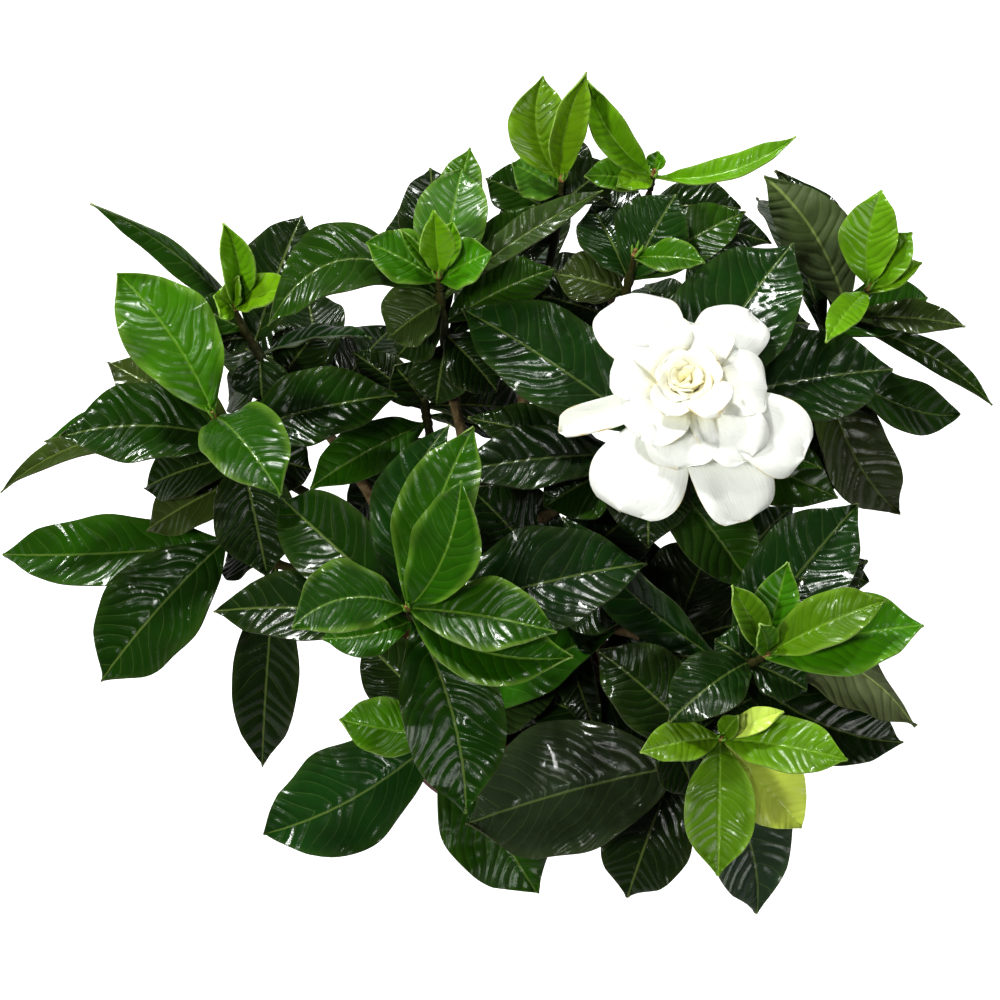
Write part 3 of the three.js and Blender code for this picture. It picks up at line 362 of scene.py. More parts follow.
PETALS = [
    petal(618, 294, 33, -2, droop=24, fold=-6),
    petal(750, 307, 29, 2, droop=34, fold=-8),
    petal(806, 456, 31, -6, droop=30, fold=10),
    petal(750, 519, 32, -14, droop=24),
    petal(620, 509, 36, -8, droop=26, fold=-6),
    petal(559, 430, 18, -12, droop=-16, fold=40),
    petal(611, 370, 25, 14, droop=40),
    petal(650, 326, 26, 20, droop=40),
    petal(702, 322, 28, 16, droop=44),
    petal(768, 386, 30, 8, droop=44),
    petal(752, 457, 28, 4, droop=46),
    petal(680, 465, 28, 6, droop=44),
    petal(640, 436, 26, 14, droop=44),
    petal(664, 362, 20, 40, droop=50, fold=20),
    petal(716, 360, 20, 42, droop=50, fold=20),
    petal(720, 408, 20, 40, droop=50, fold=20),
    petal(666, 410, 20, 42, droop=50, fold=20),
    petal(676, 382, 12, 66, droop=30, fold=34),
    petal(700, 378, 12, 64, droop=30, fold=34),
    petal(690, 400, 12, 66, droop=30, fold=34),
]

# The bloom: the mouth of its tube, the tube, and the seat of its calyx.
BLOOM = dict(mouth=(686, 392, 253), tube=14, seat=0.8, tube_radius=4.2)

# Colours as they look in daylight, as shares of full red, green and blue. The dark tone also holds
# painted shade, and the slate and lime tones painted light, as said at each.
LEAF_COLOURS = {
    "deep": (0.090, 0.205, 0.055),
    # Partly the leaf's own grey-green and partly painted highlight: lightened and turned bluish to
    # stand in for the sheen of its reflections.
    "slate": (0.185, 0.245, 0.160),
    "mid": (0.150, 0.285, 0.035),
    "moss": (0.085, 0.205, 0.020),
    # Painted shade: leaves that lie in shadow among the others are given this darker tone.
    "dark": (0.090, 0.170, 0.040),
    "dull": (0.200, 0.270, 0.110),
    "green": (0.150, 0.330, 0.020),
    "verdant": (0.130, 0.290, 0.010),
    "fresh": (0.235, 0.430, 0.020),
    "spring": (0.315, 0.470, 0.050),
    "bright": (0.395, 0.570, 0.060),
    # Partly the young leaf's own yellow-green and partly painted light: brightened well beyond it
    # to stand in for light that the shaded leaf under its neighbour does not get.
    "lime": (0.860, 0.940, 0.400),
    "jade": (0.250, 0.420, 0.120),
}

# ---------------------------------------------------------------- the view

LOOK_UP = math.radians(VIEW["elevation"])
TO_VIEWER = Vector((0, -math.cos(LOOK_UP), math.sin(LOOK_UP)))
PICTURE_UP = Vector((0, math.sin(LOOK_UP), math.cos(LOOK_UP)))
RIGHT = Vector((1, 0, 0))
UP = Vector((0, 0, 1))
AIM = Vector(VIEW["aim"])
EYE = AIM + TO_VIEWER * VIEW["distance"]

# A blade is never laid out steeper than this against the line of sight.
STEEPEST_SINE = 0.98
STEEPEST_LEAN = 1.1


def clamp(value, low, high):
    return max(low, min(high, value))


def level(angle):
    """The level direction at an angle from the right."""
    return Vector((math.cos(angle), math.sin(angle), 0))


def past(start, value):
    """How far value has come from start on its way to 1, from 0 to 1."""
    return np.clip((value - start) / (1 - start), 0, 1)


def sight_line(seen):
    """The direction from the eye to what is seen at a point of the picture."""
    x, y = seen[:2]
    across = RIGHT * ((x - VIEW["middle"]) * VIEW["scale"])
    upwards = PICTURE_UP * ((VIEW["middle"] - y) * VIEW["scale"])
    return (AIM + across + upwards - EYE).normalized()


def seen_at(place):
    """The point at a height that is seen at a point of the picture."""
    line = sight_line(place)
    return EYE + line * ((place[2] - EYE.z) / line.z)


def tip_on_sight(base, seen, rise):
    """The tip seen at a point of the picture, for a blade that rises from base by rise degrees."""
    line = sight_line(seen)
    nearest = EYE + line * (base - EYE).dot(line)
    across = nearest - base
    reach = across.length
    slope = across.z / reach
    depth = -line.z
    sine = math.sin(math.radians(rise)) / math.hypot(depth, slope)
    angle = math.asin(clamp(sine, -STEEPEST_SINE, STEEPEST_SINE)) - math.atan2(slope, depth)
    lean = clamp(angle, -STEEPEST_LEAN, STEEPEST_LEAN)
    return nearest - line * (reach * math.tan(lean))


def tip_by_heading(base, row):
    heading, rise = math.radians(row["heading"]), math.radians(row["rise"])
    return base + (level(heading) * math.cos(rise) + UP * math.sin(rise)) * row["length"]


# ---------------------------------------------------------------- curves


class Bow:
    """A curve bent once between its ends, read by the share of its length."""

    STEPS = 200

    def __init__(self, start, bend, end):
        self.start, self.bend, self.end = start, bend, end
        points = [self.point(i / self.STEPS) for i in range(self.STEPS + 1)]
        self.lengths = [0.0]
        for before, after in zip(points, points[1:]):
            self.lengths.append(self.lengths[-1] + (after - before).length)
        self.length = self.lengths[-1]

    def point(self, t):
        return self.start * (1 - t) ** 2 + self.bend * (2 * t * (1 - t)) + self.end * t**2

    def slope(self, t):
        return ((self.bend - self.start) * (1 - t) + (self.end - self.bend) * t).normalized()

    def place(self, share):
        """The curve's own parameter at a share of its length."""
        steps = np.linspace(0, 1, self.STEPS + 1)
        return float(np.interp(share * self.length, self.lengths, steps))

    def at(self, share):
        return self.point(self.place(share))

    def heading(self, share):
        return self.slope(self.place(share))


def straight(start, end):
    return Bow(start, (start + end) / 2, end)


def stem_curve(shoot):
    """A shoot's stem leans away from the pot's middle by its tilt, and straightens at the top."""
    end = seen_at(shoot["top"])
    length, tilt = shoot["length"], math.radians(shoot["tilt"])
    outward = Vector((end.x, end.y, 0)).normalized()
    lean = outward * math.sin(tilt) + UP * math.cos(tilt)
    bend = end - UP * (length * STEM["straight_top"]) - lean * (length * STEM["leaning"])
    return Bow(end - lean * length, bend, end)


def on_stem(curve, steps, share):
    """A place on a stem of straight lengths between its rings, as the solid part's is."""
    ring = min(math.floor(share * steps), steps - 1)
    before, after = curve.at(ring / steps), curve.at((ring + 1) / steps)
    return before.lerp(after, share * steps - ring)


def crown_curve(stem):
    tangent = stem.slope(1)
    start = stem.end + tangent * GAP
    return straight(start, start + tangent * CROWN["length"])


# ---------------------------------------------------------------- blades

# How quickly an outline widens from its root and narrows to its tip.
LEAF_OUTLINE = (0.98, 0.82)
FINE_OUTLINE = (1.16, 0.98)
PETAL_OUTLINE = (0.7, 0.3)

# The two patterns of leaf in the solid part: the least length of a long one, how much fuller its
# outline is to make up for the corners left out, and the shares along it at which corners are
# compared. A leaf narrower than NARROW has the short pattern.
LONG_BLADE = dict(least=66, fuller=1.05, checked=(0.8, 1.0))
SHORT_BLADE = dict(fuller=1.12, checked=(0.72, 1.0))
NARROW = 14


class Blade:
    """The surface of a leaf or petal: t runs from the stem to the tip, u across it from -1 to 1."""

    def __init__(self, base, tip, spec, outline, root, fuller=1.0):
        self.chord = (tip - base).length
        self.base = np.array(base)
        forward = (tip - base) / self.chord
        normal = (UP - forward * UP.dot(forward)).normalized()
        normal.rotate(Quaternion(forward, math.radians(spec.get("roll", 0))))
        self.forward, self.normal = np.array(forward), np.array(normal)
        self.side = np.array(normal.cross(forward))
        self.droop = math.radians(spec.get("droop", BLADE["droop"]))
        self.fold = math.radians(spec.get("fold", BLADE["fold"]))
        self.bend = spec.get("bend", 0)
        self.width, self.outline, self.root = spec["width"], outline, root
        self.fuller = fuller
        self.radius = self.chord / (2 * math.sin(self.droop / 2))
        self.phase = (self.width * fuller * BLADE["phase"] + self.chord) % TURN

    def half(self, t):
        rising, falling = self.outline
        widest = rising / (rising + falling)
        most = widest**rising * (1 - widest) ** falling
        half = self.fuller * (self.width / 2) * t**rising * (1 - t) ** falling / most
        return np.maximum(half, np.where(t < widest, self.root, BLADE["tip"]))

    def midrib(self, t):
        """The middle line, with the way the surface faces there."""
        turn = self.droop / 2 - self.droop * t
        ahead = self.radius * (math.sin(self.droop / 2) - np.sin(turn))
        above = self.radius * (np.cos(turn) - math.cos(self.droop / 2))
        sideways = self.bend * self.chord * 4 * t * (1 - t)
        middle = (
            self.base + np.outer(ahead, self.forward) + np.outer(above, self.normal)
            + np.outer(sideways, self.side)
        )
        facing = np.outer(np.cos(turn), self.normal) - np.outer(np.sin(turn), self.forward)
        return middle, facing

    def ripple(self, t, u):
        size = BLADE["wave"] * self.width * self.fuller
        return size * np.sin(TURN * BLADE["waves"] * t + self.phase + u) * u * u

    def folded(self, u, half):
        return np.abs(u) * half * math.sin(self.fold)

    def points(self, t, u, extra=0.0):
        """Points of the surface. extra is a further height, such as a swelling between veins."""
        half = self.half(t)
        middle, facing = self.midrib(t)
        spread = np.minimum(1, BLADE["opens"] * t)
        lift = (self.folded(u, half) + self.ripple(t, u)) * spread + extra
        across = u * half * math.cos(self.fold)
        return middle + np.outer(across, self.side) + facing * lift[:, None]


# The shown leaf's form, in shares of its width or length unless it says millimetres: its slender
# tip, its uneven outline and waved margin, its side veins and the swellings between them.
LEAF_TIP = dict(start=0.82, drawn_in=0.42, curve=1.2)
UNEVEN = dict(size=0.025, waves=2.3)
MARGIN_WAVE = dict(size=0.034, waves=3.3, offset=2.1, other_side=2.6, power=3)
SOFT_FOLD = 0.16
FINER_FULLER = 1.04
VEINS = dict(
    count=12, closest_mm=3.4, widest_mm=7.0, lean=0.5, sweep=0.026,
    uneven=0.22, uneven_pace=1.9, other_side=0.45,
)
SWELLING = dict(
    height=0.085, narrow=0.24, margin=0.3, full_half_mm=8,
    usual=0.75, change=0.45, pace=2.4, offset=3, other_side=1.3,
)
CREASE = dict(half_mm=1.1, depth_mm=0.5, starts=8)


class Leaf(Blade):
    """A leaf with a soft crease at the midrib and swellings between its side veins."""

    def __init__(self, base, tip, spec):
        super().__init__(base, tip, spec, FINE_OUTLINE, BLADE["petiole"], FINER_FULLER)
        spacing = self.chord / VEINS["count"]
        self.spacing = clamp(spacing, VEINS["closest_mm"], VEINS["widest_mm"])

    def half(self, t):
        """The outline runs out into a slender tip."""
        beyond = past(LEAF_TIP["start"], t)
        drawn_in = 1 - LEAF_TIP["drawn_in"] * beyond ** LEAF_TIP["curve"]
        uneven = 1 + UNEVEN["size"] * np.sin(TURN * UNEVEN["waves"] * t + self.phase)
        return super().half(t) * drawn_in * uneven

    def ripple(self, t, u):
        wave = MARGIN_WAVE
        offset = wave["offset"] * self.phase + wave["other_side"] * np.sign(u)
        wavy = np.sin(TURN * wave["waves"] * t + offset) * np.abs(u) ** wave["power"]
        return super().ripple(t, u) + wave["size"] * self.width * wavy

    def folded(self, u, half):
        return (np.sqrt(u * u + SOFT_FOLD**2) - SOFT_FOLD) * half * math.sin(self.fold)

    def ribs(self, t, u):
        """Counts the side veins passed on the way to a point. They lean towards the tip."""
        beside = np.abs(u) * self.half(t)
        along = t * self.chord
        forward = along - VEINS["lean"] * beside - VEINS["sweep"] * beside**2
        pace = VEINS["uneven_pace"] * along / self.spacing
        uneven = VEINS["uneven"] * np.sin(pace + self.phase)
        return forward / self.spacing + uneven + np.where(u < 0, VEINS["other_side"], 0.0)

    def pillow(self, t, u):
        """How strongly the blade swells between two veins: never the same twice running."""
        count = np.floor(self.ribs(t, u) + 0.5)
        offset = self.phase * SWELLING["offset"] + np.where(u < 0, SWELLING["other_side"], 0.0)
        return SWELLING["usual"] + SWELLING["change"] * np.sin(SWELLING["pace"] * count + offset)

    def quilting(self, t, u):
        half = self.half(t)
        from_vein = np.abs((self.ribs(t, u) + 0.5) % 1 - 0.5)
        swelling = 1 - np.exp(-((from_vein / SWELLING["narrow"]) ** 2))
        edge = np.clip((1 - np.abs(u)) / SWELLING["margin"], 0, 1)
        fullness = np.clip(half / SWELLING["full_half_mm"], 0, 1) * self.pillow(t, u)
        crease = np.exp(-((np.abs(u) * half / CREASE["half_mm"]) ** 2))
        sunken = CREASE["depth_mm"] * crease * np.clip(CREASE["starts"] * t, 0, 1)
        height = SWELLING["height"] * self.spacing * fullness
        return height * swelling * np.sqrt(edge) * (1 - crease) - sunken


# ---------------------------------------------------------------- the solid part's leaves

# In the solid part a leaf that would cross a neighbour is swung up or down, and then rolled or
# made smaller: the swings in degrees, in order, and the rolls with the sizes.
SWINGS = (0, 3, -3, 6, -6, 9, -9, 12, -12, 15, -15, 18, -18, 22, -22, 26, -26, 30, -30)
ROLLS = ((0, 1), (18, 1), (-18, 1), (0, 0.8), (0, 0.6), (30, 0.5), (-30, 0.5))

# Millimetres from a leaf's corners to the solid part's: how much nearer a better place has to be,
# and how near is a match.
CLEARLY_NEARER = 0.02
MATCHED = 0.5


def corners_of(node):
    """The corners of a node of the solid part, in millimetres, ready to be searched."""
    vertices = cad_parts[node].data.vertices
    tree = kdtree.KDTree(len(vertices))
    for i, vertex in enumerate(vertices):
        tree.insert(vertex.co / MM, i)
    tree.balance()
    return tree


def plain_blade(base, tip, spec):
    """The leaf as the solid part has it, and the stations at which it has corners."""
    reaches = (tip - base).length > LONG_BLADE["least"]
    seen_and_broad = "heading" not in spec and spec["width"] >= NARROW
    pattern = LONG_BLADE if reaches and seen_and_broad else SHORT_BLADE
    blade = Blade(base, tip, spec, LEAF_OUTLINE, BLADE["petiole"], pattern["fuller"])
    return blade, pattern["checked"]


def tip_of(base, spec):
    if "seen" in spec:
        return tip_on_sight(base, spec["seen"], spec["rise"])
    return tip_by_heading(base, spec)


def settled(base, row, corners):
    """The slope, roll and size at which the leaf stands clear of its neighbours."""
    best_miss, best = None, None
    for roll, size in ROLLS:
        for swing in SWINGS:
            spec = dict(
                row, rise=row["rise"] + swing, roll=row.get("roll", 0) + roll,
                width=row["width"] * size,
            )
            tip = tip_of(base, spec)
            blade, stations = plain_blade(base, tip, spec)
            half = BLADE["thickness"] / math.cos(blade.fold) / 2
            t = np.repeat(stations, 2)
            points = blade.points(t, np.array([-1.0, 1.0, -1.0, 1.0]))
            facing = blade.midrib(t)[1] * half
            ends = np.concatenate([points + facing, points - facing])
            miss = sum(corners.find(point)[2] for point in ends) / len(ends)
            if best_miss is None or miss < best_miss - CLEARLY_NEARER:
                best_miss, best = miss, (spec, tip)
    return best_miss, best


# ---------------------------------------------------------------- mesh work


def sheet(bm, along, across):
    """A flat grid of points, with their shares along it and their places across it, -1 to 1."""
    made = bmesh.ops.create_grid(bm, x_segments=along, y_segments=across, size=1.0)["verts"]
    flat = np.array([vert.co[:2] for vert in made])
    return made, (flat[:, 0] + 1) / 2, flat[:, 1]


def move_to(verts, points):
    for vert, point in zip(verts, points):
        vert.co = point * MM


# Points nearer than this, in metres, become one: where a rod closes round, and in a turned piece.
ROD_SEAM = 1e-7
TURNED_SEAM = 1e-6

# A rod's rings are known by their share rounded to so many digits. A wobbling rod has so many
# ridges round it, which wind along it.
RING_DIGITS = 6
RIDGES = dict(count=3, winding=9)


def rod(bm, curve, radius, along, round_about, wobble=0.0):
    """A closed round stem on a curve. radius gives its thickness at a share of its length."""
    made, t, u = sheet(bm, along, round_about)
    turn = u * math.pi
    shares = sorted(set(np.round(t, RING_DIGITS)))
    normal = curve.heading(0).orthogonal().normalized()
    rings = {}
    for share in shares:
        ahead = curve.heading(share)
        normal = (normal - ahead * normal.dot(ahead)).normalized()
        rings[share] = (curve.at(share), normal.copy(), ahead.cross(normal), radius(share))
    for vert, share, angle in zip(made, t, turn):
        centre, one, other, size = rings[round(share, RING_DIGITS)]
        size *= 1 + wobble * math.sin(RIDGES["count"] * angle + RIDGES["winding"] * share)
        vert.co = (centre + (one * math.cos(angle) + other * math.sin(angle)) * size) * MM
    bmesh.ops.remove_doubles(bm, verts=made, dist=ROD_SEAM)
    rims = [edge for edge in bm.edges if edge.is_boundary]
    bmesh.ops.holes_fill(bm, edges=rims, sides=0)
    bmesh.ops.recalc_face_normals(bm, faces=bm.faces)


def crisp_margins(bm):
    for edge in bm.edges:
        edge.smooth = not edge.is_boundary


def thicken(shown, name, thickness, next_finish=0):
    """Gives a sheet its thickness. next_finish counts on to the finish of its underside and rim."""
    shell = shown.modifiers.new(name, "SOLIDIFY")
    shell.thickness = thickness * MM
    shell.offset = 0
    shell.material_offset = next_finish
    shell.material_offset_rim = next_finish


def mesh_of(bm, name):
    mesh = bpy.data.meshes.new(name)
    bm.to_mesh(mesh)
    bm.free()
    return mesh


def add_object(name, data):
    made = bpy.data.objects.new(name, data)
    bpy.context.scene.collection.objects.link(made)
    return made


def piece(bm, name, finishes, slot, *nodes):
    """The finished piece of the shown plant, which stands for nodes of the solid part."""
    for face in bm.faces:
        face.smooth = True
    mesh = mesh_of(bm, name)
    for finish in finishes:
        mesh.materials.append(finish)
    shown = add_object(name, mesh)
    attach(shown, "root")
    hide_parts(*nodes)
    return shown


# ---------------------------------------------------------------- finishes


class Bench:
    """Lays out the nodes of a finish or of a shared effect, and joins them up."""

    def __init__(self, tree):
        self.tree = tree

    def feed(self, socket, value):
        if isinstance(value, bpy.types.NodeSocket):
            self.tree.links.new(value, socket)
        else:
            socket.default_value = value

    def node(self, kind, inputs=(), **settings):
        made = self.tree.nodes.new(kind)
        for key, value in settings.items():
            setattr(made, key, value)
        for key, value in dict(inputs).items():
            self.feed(made.inputs[key], value)
        return made

    def math(self, operation, *values):
        made = self.node("ShaderNodeMath", operation=operation)
        for socket, value in zip(made.inputs, values):
            self.feed(socket, value)
        return made.outputs[0]

    def fade(self, value, start, end, low=0.0, high=1.0):
        """Goes smoothly from low to high while value goes from start to end."""
        made = self.node("ShaderNodeMapRange", interpolation_type="SMOOTHSTEP")
        for socket, part in zip(made.inputs, (value, start, end, low, high)):
            self.feed(socket, part)
        return made.outputs[0]

    def mix(self, share, first, second):
        """A colour that goes from first to second. The sockets used are those for colours."""
        made = self.node("ShaderNodeMix", data_type="RGBA")
        for index, value in ((0, share), (6, first), (7, second)):
            self.feed(made.inputs[index], value)
        return made.outputs[2]

    def grain(self, place, scale, detail=3.0, roughness=0.55):
        inputs = {"Vector": place, "Scale": scale, "Detail": detail, "Roughness": roughness}
        return self.node("ShaderNodeTexNoise", inputs).outputs["Fac"]

    def attribute(self, name):
        return self.node("ShaderNodeAttribute", attribute_name=name)

    def object_place(self):
        return self.node("ShaderNodeTexCoord").outputs["Object"]

    def to_camera(self, otherwise):
        """Full strength where the camera looks straight at it, and otherwise a given strength."""
        looked_at = self.node("ShaderNodeLightPath").outputs["Is Camera Ray"]
        return self.fade(looked_at, 0.0, 1.0, otherwise, 1.0)


def shared_effect(name, inputs, outputs):
    """An effect that several finishes use, with its named inputs and outputs."""
    group = bpy.data.node_groups.new(name, "ShaderNodeTree")
    for in_out, sockets in (("INPUT", inputs), ("OUTPUT", outputs)):
        for label, kind in sockets.items():
            kind = f"NodeSocket{kind}"
            group.interface.new_socket(name=label, in_out=in_out, socket_type=kind)
    bench = Bench(group)
    given, put = bench.node("NodeGroupInput").outputs, bench.node("NodeGroupOutput").inputs
    return group, bench, given, put


def daylight(red, green, blue):
    """A colour as it looks, in the renderer's own scale."""
    parts = (
        part / 12.92 if part <= 0.04045 else ((part + 0.055) / 1.055) ** 2.4
        for part in (red, green, blue)
    )
    return (*parts, 1.0)


def leaf_veins():
    """Paler midrib and side veins on a mottled blade, with the relief between them."""
    group, bench, given, put = shared_effect(
        "leaf veins",
        {
            "Leaf Colour": "Color", "Vein Colour": "Color", "Vein Strength": "Float",
            "Mottle": "Float", "Margin Lightness": "Float", "Roughness": "Float",
            "Blade": "Vector", "Place": "Vector",
        },
        {"Colour": "Color", "Roughness": "Float", "Height": "Float"},
    )
    # The blade's own measures: side veins passed, millimetres from the midrib, share to the margin.
    ribs, beside, outward = bench.node(
        "ShaderNodeSeparateXYZ", {"Vector": given["Blade"]}
    ).outputs
    from_vein = bench.math("PINGPONG", ribs, 0.5)
    fading = bench.fade(outward, 0.55, 1.0, 1.0, 0.15)
    side_vein = bench.math("MULTIPLY", bench.fade(from_vein, 0.015, 0.075, 1.0, 0.0), fading)
    midrib = bench.fade(beside, 0.3, 0.75, 1.0, 0.0)
    veins = bench.math("MAXIMUM", bench.math("MULTIPLY", side_vein, 0.26), midrib)

    patches = bench.grain(given["Place"], 70.0, 4.0)
    darker = bench.mix(0.55, given["Leaf Colour"], daylight(0.10, 0.10, 0.02))
    shade = bench.math("MULTIPLY", bench.fade(patches, 0.35, 0.7), given["Mottle"])
    margin = bench.math(
        "MULTIPLY", bench.fade(outward, 0.72, 1.0), given["Margin Lightness"]
    )
    rimmed = bench.mix(margin, given["Leaf Colour"], given["Vein Colour"])
    mottled = bench.mix(shade, rimmed, darker)
    share = bench.math("MULTIPLY", veins, given["Vein Strength"])
    bench.feed(put["Colour"], bench.mix(share, mottled, given["Vein Colour"]))

    duller = bench.fade(patches, 0.3, 0.7)
    dullness = bench.math("MULTIPLY_ADD", duller, 0.12, given["Roughness"])
    bench.feed(put["Roughness"], bench.math("MULTIPLY_ADD", side_vein, 0.08, dullness))

    net = bench.node(
        "ShaderNodeTexVoronoi", {"Vector": given["Place"], "Scale": 1100.0},
        feature="DISTANCE_TO_EDGE",
    )
    cells = bench.fade(net.outputs["Distance"], 0.0, 0.25)
    height = bench.math("MULTIPLY", cells, 0.05)
    for form, amount in (
        (bench.fade(from_vein, 0.0, 0.40), 0.9),
        (bench.grain(given["Place"], 160.0, 1.0), 1.5),
        (bench.grain(given["Place"], 1500.0, 2.0), 0.05),
        (midrib, -0.5),
    ):
        height = bench.math("MULTIPLY_ADD", form, amount, height)
    bench.feed(put["Height"], height)
    return group


LEAF_VEINS = leaf_veins()


class Finish(Bench):
    """A finish being made. Its settings are the same all over the surface."""

    def __init__(self, name, settings):
        self.made = bpy.data.materials.new(name)
        self.made.use_nodes = True
        super().__init__(self.made.node_tree)
        self.tree.nodes.clear()
        shader = self.node("ShaderNodeBsdfPrincipled", settings)
        output = self.node("ShaderNodeOutputMaterial")
        self.feed(output.inputs["Surface"], shader.outputs["BSDF"])
        self.surface = shader.inputs

    def done(self, colour, roughness, height, strength, distance):
        """Gives the surface its colour, roughness and relief, and hands over the finish."""
        relief = self.node(
            "ShaderNodeBump", {"Height": height, "Strength": strength, "Distance": distance}
        )
        self.feed(self.surface["Base Color"], colour)
        self.feed(self.surface["Roughness"], roughness)
        self.feed(self.surface["Normal"], relief.outputs["Normal"])
        return self.made


def blade_finish(
    name, vein, strength, mottle, margin, roughness, bump, shine, tint=(0, 0, 0, 1), share=0.0
):
    """A leaf's finish: its own colour mixed with a share of tint, and drawn over with veins."""
    bench = Finish(name, shine)
    colour = bench.mix(share, bench.attribute("leaf_colour").outputs["Color"], tint)
    veins = bench.node("ShaderNodeGroup", node_tree=LEAF_VEINS)
    for label, value in (
        ("Leaf Colour", colour),
        ("Vein Colour", bench.mix(0.6, colour, vein)),
        ("Vein Strength", strength),
        ("Mottle", mottle),
        ("Margin Lightness", margin),
        ("Roughness", roughness),
        ("Blade", bench.attribute("blade").outputs["Vector"]),
        ("Place", bench.object_place()),
    ):
        bench.feed(veins.inputs[label], value)
    drawn = veins.outputs
    return bench.done(drawn["Colour"], drawn["Roughness"], drawn["Height"], bump, 0.0006)


def stem_finish():
    bench = Finish("green stem skin", {"Specular IOR Level": 0.4})
    place = bench.object_place()
    cloud = bench.grain(place, 90.0)
    colour = bench.mix(cloud, daylight(0.14, 0.21, 0.06), daylight(0.25, 0.20, 0.10))
    roughness = bench.fade(bench.grain(place, 300.0), 0.2, 0.8, 0.45, 0.7)
    return bench.done(colour, roughness, bench.grain(place, 900.0), 0.4, 0.0004)


def bark_finish():
    bench = Finish("grey-brown bark", {"Specular IOR Level": 0.25})
    place = bench.object_place()
    stretched = bench.node(
        "ShaderNodeMapping", {"Vector": place, "Scale": (1.0, 1.0, 0.22)}
    ).outputs[0]
    ridges = bench.grain(stretched, 420.0, 5.0, 0.65)
    raised = bench.fade(ridges, 0.35, 0.65)
    colour = bench.mix(raised, daylight(0.25, 0.19, 0.13), daylight(0.52, 0.45, 0.34))
    colour = bench.mix(bench.grain(place, 60.0), colour, daylight(0.34, 0.30, 0.20))
    roughness = bench.fade(ridges, 0.2, 0.8, 0.75, 0.95)
    return bench.done(colour, roughness, ridges, 0.8, 0.0012)


def petal_finish():
    bench = Finish(
        "soft white petal",
        {
            "Subsurface Weight": 0.5, "Subsurface Radius": (0.003, 0.003, 0.0028),
            "Subsurface Scale": 1.0, "Sheen Weight": 0.15, "Sheen Roughness": 0.5,
            "Specular IOR Level": 0.3,
        },
    )
    place = bench.object_place()
    # The petal's own measures: place across it, nearness to the margin and nearness to the heart.
    across, rim, inward = bench.node(
        "ShaderNodeSeparateXYZ", {"Vector": bench.attribute("blade").outputs["Vector"]}
    ).outputs
    drawn_out = bench.node(
        "ShaderNodeCombineXYZ",
        {
            "X": bench.math("MULTIPLY", across, 22.0), "Y": bench.math("MULTIPLY", rim, 2.0),
            "Z": inward,
        },
    ).outputs[0]
    streaks = bench.grain(drawn_out, 1.0, 3.0, 0.5)
    white = bench.mix(
        bench.fade(streaks, 0.3, 0.75),
        daylight(0.958, 0.968, 0.925), daylight(0.940, 0.955, 0.905),
    )
    cream = bench.mix(bench.fade(inward, 0.05, 0.8), white, daylight(0.97, 0.94, 0.74))
    patches = bench.fade(bench.grain(place, 130.0), 0.4, 0.65)
    worn = bench.math("MULTIPLY", bench.fade(rim, 0.965, 1.0), patches)
    colour = bench.mix(worn, cream, daylight(0.84, 0.76, 0.56))
    roughness = bench.fade(streaks, 0.2, 0.8, 0.48, 0.62)
    creases = bench.math("MULTIPLY_ADD", streaks, 0.4, bench.grain(place, 120.0, 2.0))
    return bench.done(colour, roughness, creases, 0.35, 0.0018)


def bud_finish():
    bench = Finish("dry brown bud tip", {"Specular IOR Level": 0.2})
    flakes = bench.grain(bench.object_place(), 700.0, 3.0, 0.6)
    raised = bench.fade(flakes, 0.3, 0.7)
    brown = bench.mix(raised, daylight(0.30, 0.20, 0.10), daylight(0.72, 0.58, 0.38))
    roughness = bench.fade(flakes, 0.2, 0.8, 0.6, 0.85)
    return bench.done(brown, roughness, flakes, 0.6, 0.0005)


def calyx_finish():
    bench = Finish("green calyx", {"Specular IOR Level": 0.45})
    place = bench.object_place()
    cloud = bench.grain(place, 220.0)
    green = bench.mix(cloud, daylight(0.36, 0.56, 0.17), daylight(0.56, 0.70, 0.30))
    roughness = bench.fade(cloud, 0.2, 0.8, 0.35, 0.5)
    return bench.done(green, roughness, bench.grain(place, 1200.0), 0.3, 0.0003)


def pot_finish():
    bench = Finish(
        "dark red moulded plastic", {"Specular IOR Level": 0.5, "Coat Roughness": 0.2}
    )
    place = bench.object_place()
    cloud = bench.grain(place, 26.0, 4.0)
    red = bench.mix(cloud, daylight(0.40, 0.06, 0.035), daylight(0.33, 0.04, 0.025))
    dust = bench.fade(bench.grain(place, 900.0, 2.0), 0.62, 0.8)
    colour = bench.mix(bench.math("MULTIPLY", dust, 0.25), red, daylight(0.5, 0.3, 0.22))
    roughness = bench.fade(bench.grain(place, 140.0), 0.25, 0.75, 0.30, 0.46)
    bench.feed(bench.surface["Coat Weight"], bench.fade(cloud, 0.3, 0.7, 0.25, 0.1))
    return bench.done(colour, roughness, bench.grain(place, 1800.0, 1.0), 0.12, 0.0003)


def soil_finish():
    bench = Finish("dark potting soil", {"Specular IOR Level": 0.2})
    place = bench.object_place()
    crumbs = bench.node("ShaderNodeTexVoronoi", {"Vector": place, "Scale": 520.0}).outputs
    clods = bench.grain(place, 140.0, 5.0, 0.7)
    raised = bench.fade(clods, 0.35, 0.7)
    brown = bench.mix(raised, daylight(0.13, 0.09, 0.06), daylight(0.30, 0.21, 0.14))
    speck = bench.math("GREATER_THAN", bench.grain(place, 380.0, 1.0), 0.70)
    colour = bench.mix(speck, brown, daylight(0.62, 0.56, 0.46))
    roughness = bench.fade(clods, 0.2, 0.8, 0.85, 1.0)
    height = bench.math("MULTIPLY_ADD", clods, 1.4, crumbs["Distance"])
    return bench.done(colour, roughness, height, 0.9, 0.0018)


